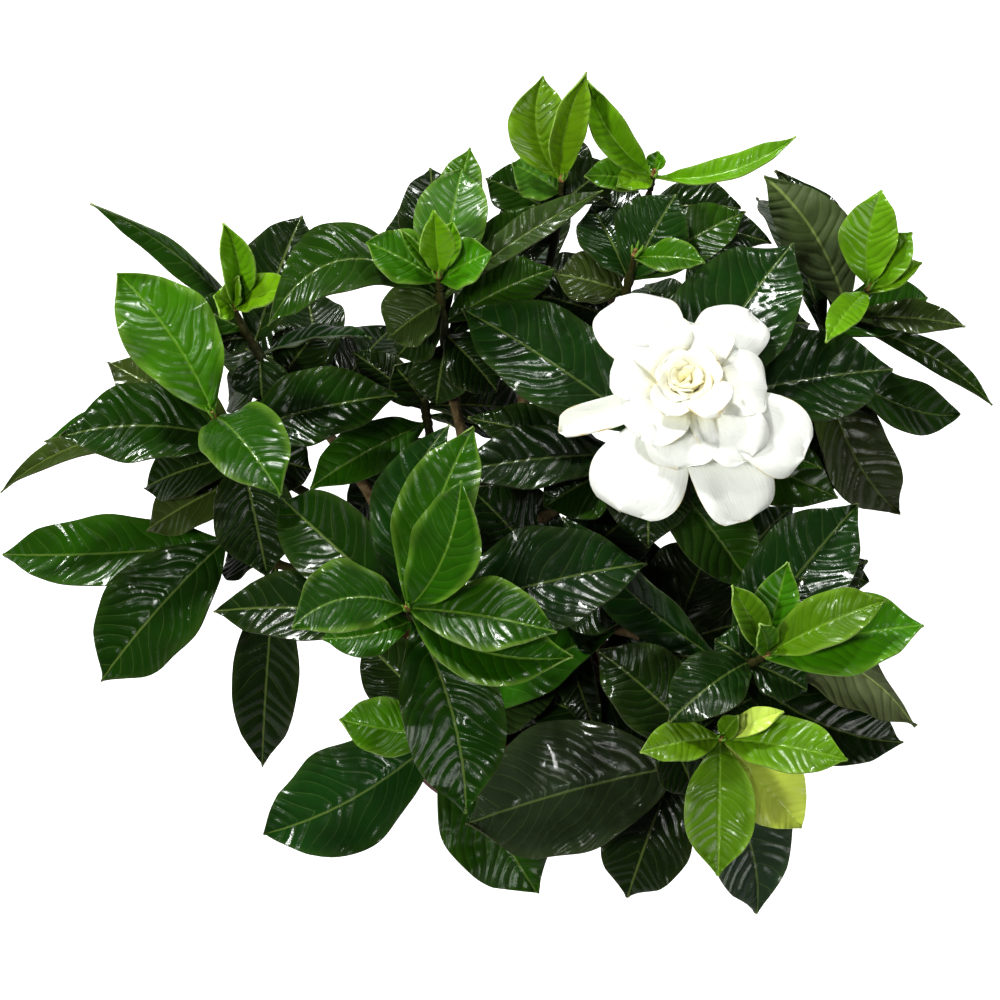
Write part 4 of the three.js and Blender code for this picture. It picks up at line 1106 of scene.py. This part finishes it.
YELLOW_GREEN = daylight(0.66, 0.74, 0.40)
FINISHES = dict(
    dark_leaf=blade_finish(
        "glossy dark leaf", vein=YELLOW_GREEN, strength=0.3, mottle=0.5, margin=0.06,
        roughness=0.18, bump=0.5,
        shine={"Specular IOR Level": 0.33, "Coat Weight": 0.10, "Coat Roughness": 0.06},
    ),
    dark_leaf_back=blade_finish(
        "pale leaf underside", vein=YELLOW_GREEN, strength=0.5, mottle=0.35, margin=0.0,
        roughness=0.55, bump=0.8, shine={"Specular IOR Level": 0.35},
        tint=daylight(0.44, 0.43, 0.33), share=0.28,
    ),
    light_leaf=blade_finish(
        "fresh young leaf", vein=daylight(0.60, 0.74, 0.30), strength=0.36, mottle=0.35,
        margin=0.42, roughness=0.22, bump=0.4,
        shine={"Specular IOR Level": 0.34, "Coat Weight": 0.10, "Coat Roughness": 0.08},
    ),
    light_leaf_back=blade_finish(
        "young leaf underside", vein=YELLOW_GREEN, strength=0.5, mottle=0.2, margin=0.2,
        roughness=0.5, bump=0.5, shine={"Specular IOR Level": 0.35},
        tint=daylight(0.62, 0.72, 0.42), share=0.4,
    ),
    stem=stem_finish(),
    bark=bark_finish(),
    petal=petal_finish(),
    calyx=calyx_finish(),
    bud=bud_finish(),
    pot=pot_finish(),
    soil=soil_finish(),
)

# ---------------------------------------------------------------- leaves on their stems

# The shown leaf's mesh, and how far one leaf's colour may stray from its tone.
LEAF_MESH = dict(step_mm=1.15, fewest=20, most=76, across=14, narrow_across=8, crowded=1.12)
STRAY = dict(lightness=0.13, warmth=0.07)

# A stem swells at its joints, and closes at its top. Reach and length are shares of its length.
JOINT = dict(reach=0.035, swelling=0.3)
CLOSING = dict(start=0.93, length=0.07, least=0.03)
STEM_MESH = dict(along=40, round_about=12, wobble=0.04)

# The resting bud: its core, and the scales with what is drawn by chance for each. The scale's
# widths are its foot's beyond the tip's, the tip's, and how it narrows.
BUD = dict(below=2, above=1.4, radius=1.5, blunt=1.02, along=12, round_about=12)
SCALES = dict(
    count=4, turn=(-0.4, 0.4), out=(1.2, 2.6), rise=(2.5, 5.0), spread=0.3, bow=0.4,
    widths=(0.75, 0.15, 0.7), along=10, round_about=8,
)


def taper(thick, thin):
    """The radius of a stem that goes evenly from thick to thin."""
    return lambda share: thick + (thin - thick) * share


def pointed(foot, tip, curve):
    """The radius of a stem that runs out to a fine tip."""
    return lambda share: tip + foot * (1 - share) ** curve


def add_leaf(bm, base, spec, tip, chance):
    blade = Leaf(base, tip, spec)
    along = clamp(blade.chord / LEAF_MESH["step_mm"], LEAF_MESH["fewest"], LEAF_MESH["most"])
    across = LEAF_MESH["narrow_across" if spec["width"] < NARROW else "across"]
    verts, t, u = sheet(bm, int(along), across)
    u = np.sign(u) * np.abs(u) ** LEAF_MESH["crowded"]
    move_to(verts, blade.points(t, u, blade.quilting(t, u)))
    lighter = 1 + chance.uniform(-STRAY["lightness"], STRAY["lightness"])
    warmer = 1 + chance.uniform(-STRAY["warmth"], STRAY["warmth"])
    shades = zip(LEAF_COLOURS[spec["tone"]], (lighter * warmer, lighter, lighter / warmer))
    colour = daylight(*(clamp(part * shade, 0, 1) for part, shade in shades))
    colour_layer = bm.verts.layers.float_color["leaf_colour"]
    blade_layer = bm.verts.layers.float_vector["blade"]
    outward = np.abs(u)
    for vert, *measures in zip(verts, blade.ribs(t, u), outward * blade.half(t), outward):
        vert[colour_layer] = colour
        vert[blade_layer] = measures


def leaves_on(curve, steps, rows, node, name, slot, chance):
    """One piece of leaves, each where the solid part has it."""
    corners = corners_of(node)
    bm = bmesh.new()
    bm.verts.layers.float_color.new("leaf_colour")
    bm.verts.layers.float_vector.new("blade")
    for row in rows:
        base = on_stem(curve, steps, row["at"])
        miss, (spec, tip) = settled(base, row, corners)
        if miss > MATCHED:
            print(f"NOT MATCHED {node} {row} {miss:.2f}")
        add_leaf(bm, base, spec, tip, chance)
    crisp_margins(bm)
    shown = piece(bm, name, [FINISHES[slot], FINISHES[f"{slot}_back"]], slot, node)
    thicken(shown, "leaf thickness", BLADE["thickness"], next_finish=1)


def stem_on(curve, rows, node, name, sizes, slot):
    plain = taper(sizes["foot_radius"], sizes["top_radius"])

    def radius(share):
        swelling = sum(
            math.exp(-(((share - row["at"]) / JOINT["reach"]) ** 2)) for row in rows
        )
        beyond = max(0.0, (share - CLOSING["start"]) / CLOSING["length"])
        closing = max(CLOSING["least"], math.sqrt(max(0.0, 1 - beyond**2)))
        return plain(share) * (1 + JOINT["swelling"] * min(1, swelling)) * closing

    bm = bmesh.new()
    rod(bm, curve, radius, **STEM_MESH)
    piece(bm, name, [FINISHES["stem"]], slot, node)


def bud_on(crown, node, name, chance):
    """The bud between the youngest leaves: a blunt brown core in a few narrow green scales."""
    bm = bmesh.new()
    tip, ahead = crown.end, crown.heading(1)
    foot = tip - ahead * BUD["below"]
    rod(
        bm, straight(foot, tip + ahead * BUD["above"]),
        lambda share: BUD["radius"] * math.sqrt(max(0.0, BUD["blunt"] - share * share)),
        BUD["along"], BUD["round_about"],
    )
    core_faces = len(bm.faces)
    for i in range(SCALES["count"]):
        turn = TURN * i / SCALES["count"] + chance.uniform(*SCALES["turn"])
        out = level(turn) * chance.uniform(*SCALES["out"])
        top = tip + out + ahead * chance.uniform(*SCALES["rise"])
        start = foot + out * SCALES["spread"]
        bend = (start + top) / 2 + out * SCALES["bow"]
        width = pointed(*SCALES["widths"])
        rod(bm, Bow(start, bend, top), width, SCALES["along"], SCALES["round_about"])
    bm.faces.ensure_lookup_table()
    for face in bm.faces[core_faces:]:
        face.material_index = 1
    piece(bm, f"bud_{name}", [FINISHES["bud"], FINISHES["calyx"]], "light_leaf", node)


def shoot_pieces(shoot):
    name, stem = shoot["name"], stem_curve(shoot)
    chance = random.Random(name)
    dark = [row for row in shoot["leaves"] if row["tone"] not in LIGHT_TONES]
    light = [row for row in shoot["leaves"] if row["tone"] in LIGHT_TONES]
    node = f"leafy_stem_{name}"
    leaves_on(stem, STEM["steps"], dark, node, f"dark_leaves_{name}", "dark_leaf", chance)
    stem_on(stem, dark, node, f"green_stem_{name}", STEM, "dark_leaf")
    if light:
        node = f"young_leaves_{name}"
        crown = crown_curve(stem)
        leaves_on(crown, 1, light, node, f"light_leaves_{name}", "light_leaf", chance)
        stem_on(crown, light, node, f"crown_{name}", CROWN, "light_leaf")
        bud_on(crown, node, name, chance)


for row in SHOOTS:
    shoot_pieces(row)

# ---------------------------------------------------------------- the bloom

MOUTH = seen_at(BLOOM["mouth"])
BLOOM_FOOT = stem_curve(SHOOTS[0]).end
BLOOM_AXIS = (MOUTH - BLOOM_FOOT).normalized()

# The shown petal's form, in shares of its width or length: its uneven outline, its waved and
# rolled margins, and the dents of its end.
PETAL_FORM = dict(uneven=0.05, uneven_waves=1.1, opens=3)
PETAL_WAVE = dict(start=0.4, size=0.045, waves=1.4, offset=1.7, across=2.2)
PETAL_ROLL = dict(start=0.7, end=0.10, sides=0.05)
PETAL_DENT = dict(start=0.5, size=0.03, across=3.4)
PETAL_SEAT = dict(below=2, aside=0.5)
PETAL_MESH = dict(along=34, across=22)

# The cream of the heart reaches this many millimetres from the mouth of the tube.
CREAM_REACH = 24

# The close swirl of small petals that fills the heart, wound round its middle.
HEART = dict(
    petals=11, middle=(686, 388), nearest=5, step=1.9, turn=137.5, width=13, wider=0.4,
    rise=74, lower=3.2, droop=44, fold=34,
)

# The core of the bloom, between the small petals, and the cup and lobes of the calyx.
CORE = dict(below=1, above=9, foot_radius=3.4, top_radius=1.5)
TUBE_TOP = dict(above=1, narrow=0.7)
CUP = dict(top=0.5, foot_radius=1.6, wider=1.5, along=14, round_about=24, wobble=0.06)
LOBE = dict(
    count=6, length=17, out=0.86, down=0.3, below=1.6, aside=1.2, bow=1.2,
    widths=(1.1, 0.15, 0.6), along=12, round_about=8,
)


def on_axis(below):
    """A point on the bloom's axis, by its distance below the mouth."""
    return MOUTH - BLOOM_AXIS * below


class Petal(Blade):
    """A petal: a shallow dish whose margin waves and rolls back."""

    def __init__(self, base, tip, spec):
        super().__init__(base, tip, spec, PETAL_OUTLINE, PETAL["root"])

    def folded(self, u, half):
        return u * u * half * math.sin(self.fold)

    def half(self, t):
        """No two petals have quite the same outline, and the end is softly lobed."""
        swing = np.sin(TURN * PETAL_FORM["uneven_waves"] * t + self.phase)
        opening = np.clip(PETAL_FORM["opens"] * t, 0, 1)
        return super().half(t) * (1 + PETAL_FORM["uneven"] * swing * opening)

    def curl(self, t, u):
        """Height added by the waved and rolled margins."""
        wave, roll, dent = PETAL_WAVE, PETAL_ROLL, PETAL_DENT
        aside = past(wave["start"], np.abs(u)) ** 2 * np.clip(PETAL_FORM["opens"] * t, 0, 1)
        turn = TURN * wave["waves"] * t + self.phase * wave["offset"] + wave["across"] * u
        waved = wave["size"] * np.sin(turn) * aside
        rolled = roll["end"] * past(roll["start"], t) ** 2 + roll["sides"] * aside**2
        dented = dent["size"] * np.sin(dent["across"] * u + self.phase)
        return self.width * (waved - rolled + dented * past(dent["start"], t))


def add_petal(bm, spec):
    tip = tip_on_sight(MOUTH, spec["seen"], spec["rise"])
    heading = tip - MOUTH
    heading = (heading - BLOOM_AXIS * heading.dot(BLOOM_AXIS)).normalized()
    base = on_axis(PETAL_SEAT["below"]) + heading * (BLOOM["tube_radius"] * PETAL_SEAT["aside"])
    blade = Petal(base, tip, spec)
    verts, t, u = sheet(bm, **PETAL_MESH)
    move_to(verts, blade.points(t, u, blade.curl(t, u)))
    blade_layer = bm.verts.layers.float_vector["blade"]
    reach = np.array([(vert.co / MM - MOUTH).length for vert in verts])
    inward = np.clip(1 - reach / CREAM_REACH, 0, 1)
    rim = np.maximum(np.abs(u), 2 * t - 1)
    for vert, *measures in zip(verts, u, rim, inward):
        vert[blade_layer] = measures


def heart_rows():
    for i in range(HEART["petals"]):
        angle = math.radians(HEART["turn"] * i)
        reach = HEART["nearest"] + HEART["step"] * i
        yield petal(
            HEART["middle"][0] + reach * math.cos(angle),
            HEART["middle"][1] + reach * math.sin(angle),
            HEART["width"] + HEART["wider"] * i, HEART["rise"] - HEART["lower"] * i,
            droop=HEART["droop"], fold=HEART["fold"],
        )


def bloom_pieces():
    bm = bmesh.new()
    bm.verts.layers.float_vector.new("blade")
    for spec in (*PETALS, *heart_rows()):
        add_petal(bm, spec)
    crisp_margins(bm)
    petals = piece(bm, "petals", [FINISHES["petal"]], "petal", "bloom_petals")
    thicken(petals, "petal thickness", PETAL["thickness"])

    bm = bmesh.new()
    bm.verts.layers.float_vector.new("blade")
    half_way, wide = BLOOM["tube"] * CUP["top"], BLOOM["tube_radius"]
    tube = straight(on_axis(half_way), on_axis(-TUBE_TOP["above"]))
    rod(bm, tube, taper(wide * TUBE_TOP["narrow"], wide), along=12, round_about=20)
    core = straight(on_axis(CORE["below"]), on_axis(-CORE["above"]))
    rod(bm, core, taper(CORE["foot_radius"], CORE["top_radius"]), along=12, round_about=16)
    piece(bm, "bloom_tube", [FINISHES["petal"]], "petal", "bloom_petals")

    bm = bmesh.new()
    start = BLOOM_FOOT + BLOOM_AXIS * BLOOM["seat"]
    cup_top = on_axis(half_way + GAP)
    rod(
        bm, straight(start, cup_top),
        lambda share: CUP["foot_radius"] + CUP["wider"] * math.sin(share * math.pi / 2),
        CUP["along"], CUP["round_about"], CUP["wobble"],
    )
    reach = LOBE["length"]
    for i in range(LOBE["count"]):
        out = level(TURN * i / LOBE["count"])
        base = cup_top - BLOOM_AXIS * LOBE["below"] + out * LOBE["aside"]
        tip = base + out * (reach * LOBE["out"]) - BLOOM_AXIS * (reach * LOBE["down"])
        bend = (base + tip) / 2 + UP * LOBE["bow"]
        width = pointed(*LOBE["widths"])
        rod(bm, Bow(base, bend, tip), width, LOBE["along"], LOBE["round_about"])
    piece(bm, "calyx", [FINISHES["calyx"]], "calyx", "bloom_calyx")


bloom_pieces()

# ---------------------------------------------------------------- trunks, pot and soil

# A branch leaves its fork a little thinner than the fork, bends along its own leafy stem, and has
# knots along it. The wobble of the bark is a share of its thickness.
BRANCH = dict(start=0.9, bend=0.45, knot=0.12, knots=21)
BELOW_MESH = dict(along=16, round_about=18, wobble=0.05)
TRUNK_MESH = dict(along=24, round_about=18, wobble=0.05)
BRANCH_MESH = dict(along=30, round_about=12, wobble=0.06)

# The steps of the turned pot and soil, the soil's rings, the heights at which the pot's wall has
# a ring of points, and the size of the corner between its floor and wall.
POT_STEPS = 96
SOIL_STEPS = 120
SOIL_RINGS = 26
WALL_RINGS = (30, 60)
CORNER = 3
DRILL = dict(sides=24, depth=0.02)
CRISP_ANGLE = 35

# The stones and crumbs on the soil, with what is drawn by chance for each.
CRUMBS = dict(
    count=160, seed=5, spread=0.94, size=(0.8, 2.2), turn=(0, 6), longer=(0.7, 1.6), flat=0.7,
)


def branch_radius(share):
    plain = taper(TRUNK["fork_radius"] * BRANCH["start"], TRUNK["twig_radius"])
    return plain(share) * (1 + BRANCH["knot"] * math.sin(BRANCH["knots"] * share))


def woody_pieces():
    thick, thin = TRUNK["radius"], TRUNK["fork_radius"]
    for name, trunk in TRUNKS.items():
        x, y = trunk["foot"]
        root = Vector((x, y, SOIL_TOP - TRUNK["depth"]))
        collar = Vector((x, y, SOIL_TOP + TRUNK["collar"]))
        neck = Vector(trunk["fork"])
        above = Vector((x, y, (collar.z + neck.z) / 2))
        bm = bmesh.new()
        rod(bm, straight(root, collar), taper(thick, thick), **BELOW_MESH)
        rod(bm, Bow(collar, above, neck), taper(thick, thin), **TRUNK_MESH)
        for shoot in SHOOTS:
            if shoot["trunk"] != name:
                continue
            stem = stem_curve(shoot)
            ahead = stem.slope(0)
            end = stem.start - ahead * GAP
            bend = end - ahead * ((end - neck).length * BRANCH["bend"])
            rod(bm, Bow(neck, bend, end), branch_radius, **BRANCH_MESH)
        piece(bm, f"bark_{name}", [FINISHES["bark"]], "wood", f"woody_stem_{name}")


def inner_radius(height):
    low = POT["foot_radius"] - POT["wall"]
    high = POT["rim_radius"] - POT["rim_lip"]
    return low + (high - low) * height / POT["height"]


def turned(bm, profile, steps):
    """A profile of (radius, height) turned about the upright axis.

    It starts half a step round, so that no drain hole's middle lies on an edge of the floor.
    """
    start = level(math.pi / steps)
    verts = [bm.verts.new((start * radius + UP * height) * MM) for radius, height in profile]
    edges = [bm.edges.new(pair) for pair in zip(verts, verts[1:])]
    bmesh.ops.spin(
        bm, geom=verts + edges, cent=(0, 0, 0), axis=(0, 0, 1), dvec=(0, 0, 0),
        angle=TURN, steps=steps, use_merge=True, use_normal_flip=False, use_duplicate=False,
    )
    bmesh.ops.remove_doubles(bm, verts=bm.verts, dist=TURNED_SEAM)
    bmesh.ops.recalc_face_normals(bm, faces=bm.faces)


def pot_profile():
    """The pot's section, with its corners rounded, from the middle of its underside."""
    height, lift, band_foot = POT["height"], POT["foot_lift"], POT["height"] - POT["rim_band"]
    foot, ring, pad, rim = POT["foot_radius"], POT["foot_ring"], POT["foot_pad"], POT["rim_radius"]
    hollow = foot - ring
    inside = lift + POT["floor"]

    def outer(z):
        return inner_radius(z) + POT["wall"]

    pad_under = (
        (0, 0), (pad - 0.5, 0), (pad, 0.1), (pad + 0.7, 0.9), (pad + 1.5, lift - 0.1),
        (pad + 2, lift),
    )
    ring_under = (
        (hollow - 1.5, lift), (hollow - 1, lift - 0.1), (hollow, 0.1), (hollow + 0.3, 0),
        (foot - 1.5, 0), (foot - 0.7, 0.25), (foot - 0.15, 0.9), (foot, 1.5),
    )
    wall_outside = tuple((outer(z), z) for z in (*WALL_RINGS, band_foot - 2))
    band = (
        (outer(band_foot), band_foot - 0.3), (outer(band_foot) + 0.3, band_foot),
        (rim - 1.9, band_foot + 0.7), (rim - 1.4, band_foot + 1.2), (rim - 1.1, band_foot + 2),
        (rim - 0.1, height - 3), (rim, height - 1.6), (rim - 0.35, height - 0.6),
        (rim - 1.4, height - 0.05), (rim - 2, height),
        (inner_radius(height) + 1, height), (inner_radius(height) + 0.3, height - 0.3),
        (inner_radius(height), height - 1),
    )
    wall_inside = tuple((inner_radius(z), z) for z in (*reversed(WALL_RINGS), inside + CORNER))
    low = inner_radius(0)
    floor = ((low - 1.2, inside + 0.8), (low - CORNER, inside), (0, inside))
    return pad_under + ring_under + wall_outside + band + wall_inside + floor


def pot_piece():
    bm = bmesh.new()
    turned(bm, pot_profile(), POT_STEPS)
    shown = piece(bm, "pot_body", [FINISHES["pot"]], "pot", "pot")
    drill = bmesh.new()
    radius, circle = POT["drain_radius"] * MM, POT["drain_circle"]
    for i in range(POT["drain_holes"]):
        angle = TURN * i / POT["drain_holes"]
        place = (circle * math.cos(angle) * MM, circle * math.sin(angle) * MM, 0)
        bmesh.ops.create_cone(
            drill, cap_ends=True, segments=DRILL["sides"], radius1=radius, radius2=radius,
            depth=DRILL["depth"], matrix=Matrix.Translation(place),
        )
    cutter = add_object("drain_drill", mesh_of(drill, "drain drill"))
    cut = shown.modifiers.new("drain holes", "BOOLEAN")
    cut.object = cutter
    cut.operation = "DIFFERENCE"
    cut.solver = "EXACT"
    bpy.context.view_layer.update()
    cut_shape = shown.evaluated_get(bpy.context.evaluated_depsgraph_get())
    shaped = bpy.data.meshes.new_from_object(cut_shape)
    shown.modifiers.clear()
    shown.data = shaped
    bpy.data.objects.remove(cutter)
    soften(shown, CRISP_ANGLE)


def soften(shown, degrees):
    """Smooth shading with edges kept crisp where the surface turns by more than some degrees."""
    bm = bmesh.new()
    bm.from_mesh(shown.data)
    limit = math.radians(degrees)
    for edge in bm.edges:
        edge.smooth = len(edge.link_faces) == 2 and edge.calc_face_angle(0) < limit
    bm.to_mesh(shown.data)
    bm.free()


def mound(share):
    """The height of the soil at a share of the way from the pot's wall to its middle."""
    return SOIL_TOP + SOIL["mound"] * math.sin(share * math.pi / 2)


def lumps(x, y):
    """The soil's unevenness at a place: broad bumps and small crumbs, as waves that never meet."""
    bump = math.sin(x * 0.23 + 1) * math.cos(y * 0.19) + 0.6 * math.sin(x * 0.11 - y * 0.31)
    crumb = 0.5 * math.sin(1.9 * x + 0.7 * y) * math.sin(1.3 * y - 0.9 * x)
    finer = 0.4 * math.sin(3.1 * y + 1.7 * x)
    return SOIL["bump"] * bump + (crumb + finer)


def soil_piece():
    bm = bmesh.new()
    bottom = POT["foot_lift"] + POT["floor"] + GAP
    clear = GAP + SOIL["wall_clear"]
    edge = inner_radius(SOIL_TOP) - clear
    profile = [
        (0, bottom), (inner_radius(0) - CORNER - GAP, bottom),
        (inner_radius(bottom + CORNER) - clear, bottom + CORNER), (edge, SOIL_TOP),
    ]
    for i in range(1, SOIL_RINGS + 1):
        profile.append((edge * (1 - i / SOIL_RINGS), mound(i / SOIL_RINGS)))
    turned(bm, profile, SOIL_STEPS)
    for vert in bm.verts:
        x, y, z = vert.co / MM
        if z >= SOIL_TOP - SOIL["upper"]:
            inside = clamp((edge - math.hypot(x, y)) / SOIL["flat_edge"], 0, 1)
            vert.co.z += inside * lumps(x, y) * MM
    chance = random.Random(CRUMBS["seed"])
    for _ in range(CRUMBS["count"]):
        away = edge * CRUMBS["spread"] * math.sqrt(chance.random())
        angle = chance.uniform(0, TURN)
        height = mound(1 - away / edge)
        size = chance.uniform(*CRUMBS["size"])
        place = (away * math.cos(angle) * MM, away * math.sin(angle) * MM, height * MM)
        spin = chance.uniform(*CRUMBS["turn"])
        turn = Matrix.Rotation(spin, 4, Vector((chance.random(), chance.random(), 1)))
        longer = chance.uniform(*CRUMBS["longer"])
        shape = Matrix.Diagonal((size * longer * MM, size * MM, size * CRUMBS["flat"] * MM, 1))
        bmesh.ops.create_icosphere(
            bm, subdivisions=1, radius=1.0, matrix=Matrix.Translation(place) @ turn @ shape
        )
    piece(bm, "soil_top", [FINISHES["soil"]], "soil", "soil")


woody_pieces()
pot_piece()
soil_piece()

# ---------------------------------------------------------------- floor, light and camera

# In metres. The lamps' places are counted from the aim. A lamp that doesn't shine lights the
# plant, but isn't mirrored in its leaves.
FLOOR_HALF = 6.0
LAMPS = (
    dict(name="window behind left", place=(-0.75, 1.25, 1.5), size=0.24, power=32),
    dict(name="window behind right", place=(0.85, 1.2, 1.6), size=0.16, power=11),
    dict(name="left panel", place=(-1.5, -1.0, 1.5), size=0.4, power=35, shines=False),
    dict(name="side fill", place=(1.5, -0.9, 1.1), size=0.9, power=10),
    dict(name="high window", place=(-0.42, -0.70, 1.72), size=0.13, power=5),
)
CAMERA = dict(sensor=36.0, nearest=0.05, farthest=20)

# How strongly the floor and the surroundings shine on the plant. The camera sees both as white.
FLOOR_GLOW = 0.05
FLOOR_GREY = 0.35
SKY_GLOW = 0.08


def add_floor():
    bench = Finish("plain pale floor", {"Roughness": 0.9, "Specular IOR Level": 0.0})
    bench.surface["Base Color"].default_value = (FLOOR_GREY, FLOOR_GREY, FLOOR_GREY, 1)
    bench.surface["Emission Color"].default_value = (1, 1, 1, 1)
    bench.feed(bench.surface["Emission Strength"], bench.to_camera(FLOOR_GLOW))
    bm = bmesh.new()
    bmesh.ops.create_grid(bm, x_segments=1, y_segments=1, size=FLOOR_HALF)
    mesh = mesh_of(bm, "floor")
    mesh.materials.append(bench.made)
    floor = add_object("floor", mesh)


def soft_light(name, place, size, power, shines=True):
    lamp = bpy.data.lights.new(name, "AREA")
    lamp.shape = "DISK"
    lamp.size = size
    lamp.energy = power
    shown = add_object(name, lamp)
    shown.visible_glossy = shines
    aim = AIM * MM
    shown.location = aim + Vector(place)
    shown.rotation_euler = (aim - shown.location).to_track_quat("-Z", "Y").to_euler()


add_floor()
for lamp_row in LAMPS:
    soft_light(**lamp_row)

world = bpy.data.worlds.new("studio")
world.use_nodes = True
sky = Bench(world.node_tree)
backdrop = world.node_tree.nodes["Background"].inputs
backdrop["Color"].default_value = (1, 1, 1, 1)
sky.feed(backdrop["Strength"], sky.to_camera(SKY_GLOW))
bpy.context.scene.world = world

camera_data = bpy.data.cameras.new("camera")
camera_data.sensor_fit = "HORIZONTAL"
camera_data.sensor_width = CAMERA["sensor"]
camera_data.lens = CAMERA["sensor"] * VIEW["distance"] / (2 * VIEW["middle"] * VIEW["scale"])
camera_data.clip_start, camera_data.clip_end = CAMERA["nearest"], CAMERA["farthest"]
camera = add_object("camera", camera_data)
camera.location = EYE * MM
camera.rotation_euler = (-TO_VIEWER).to_track_quat("-Z", "Y").to_euler()
bpy.context.scene.camera = camera

settings = bpy.context.scene.view_settings
settings.view_transform = "Standard"
settings.look = "Medium High Contrast"
settings.exposure = 0.0
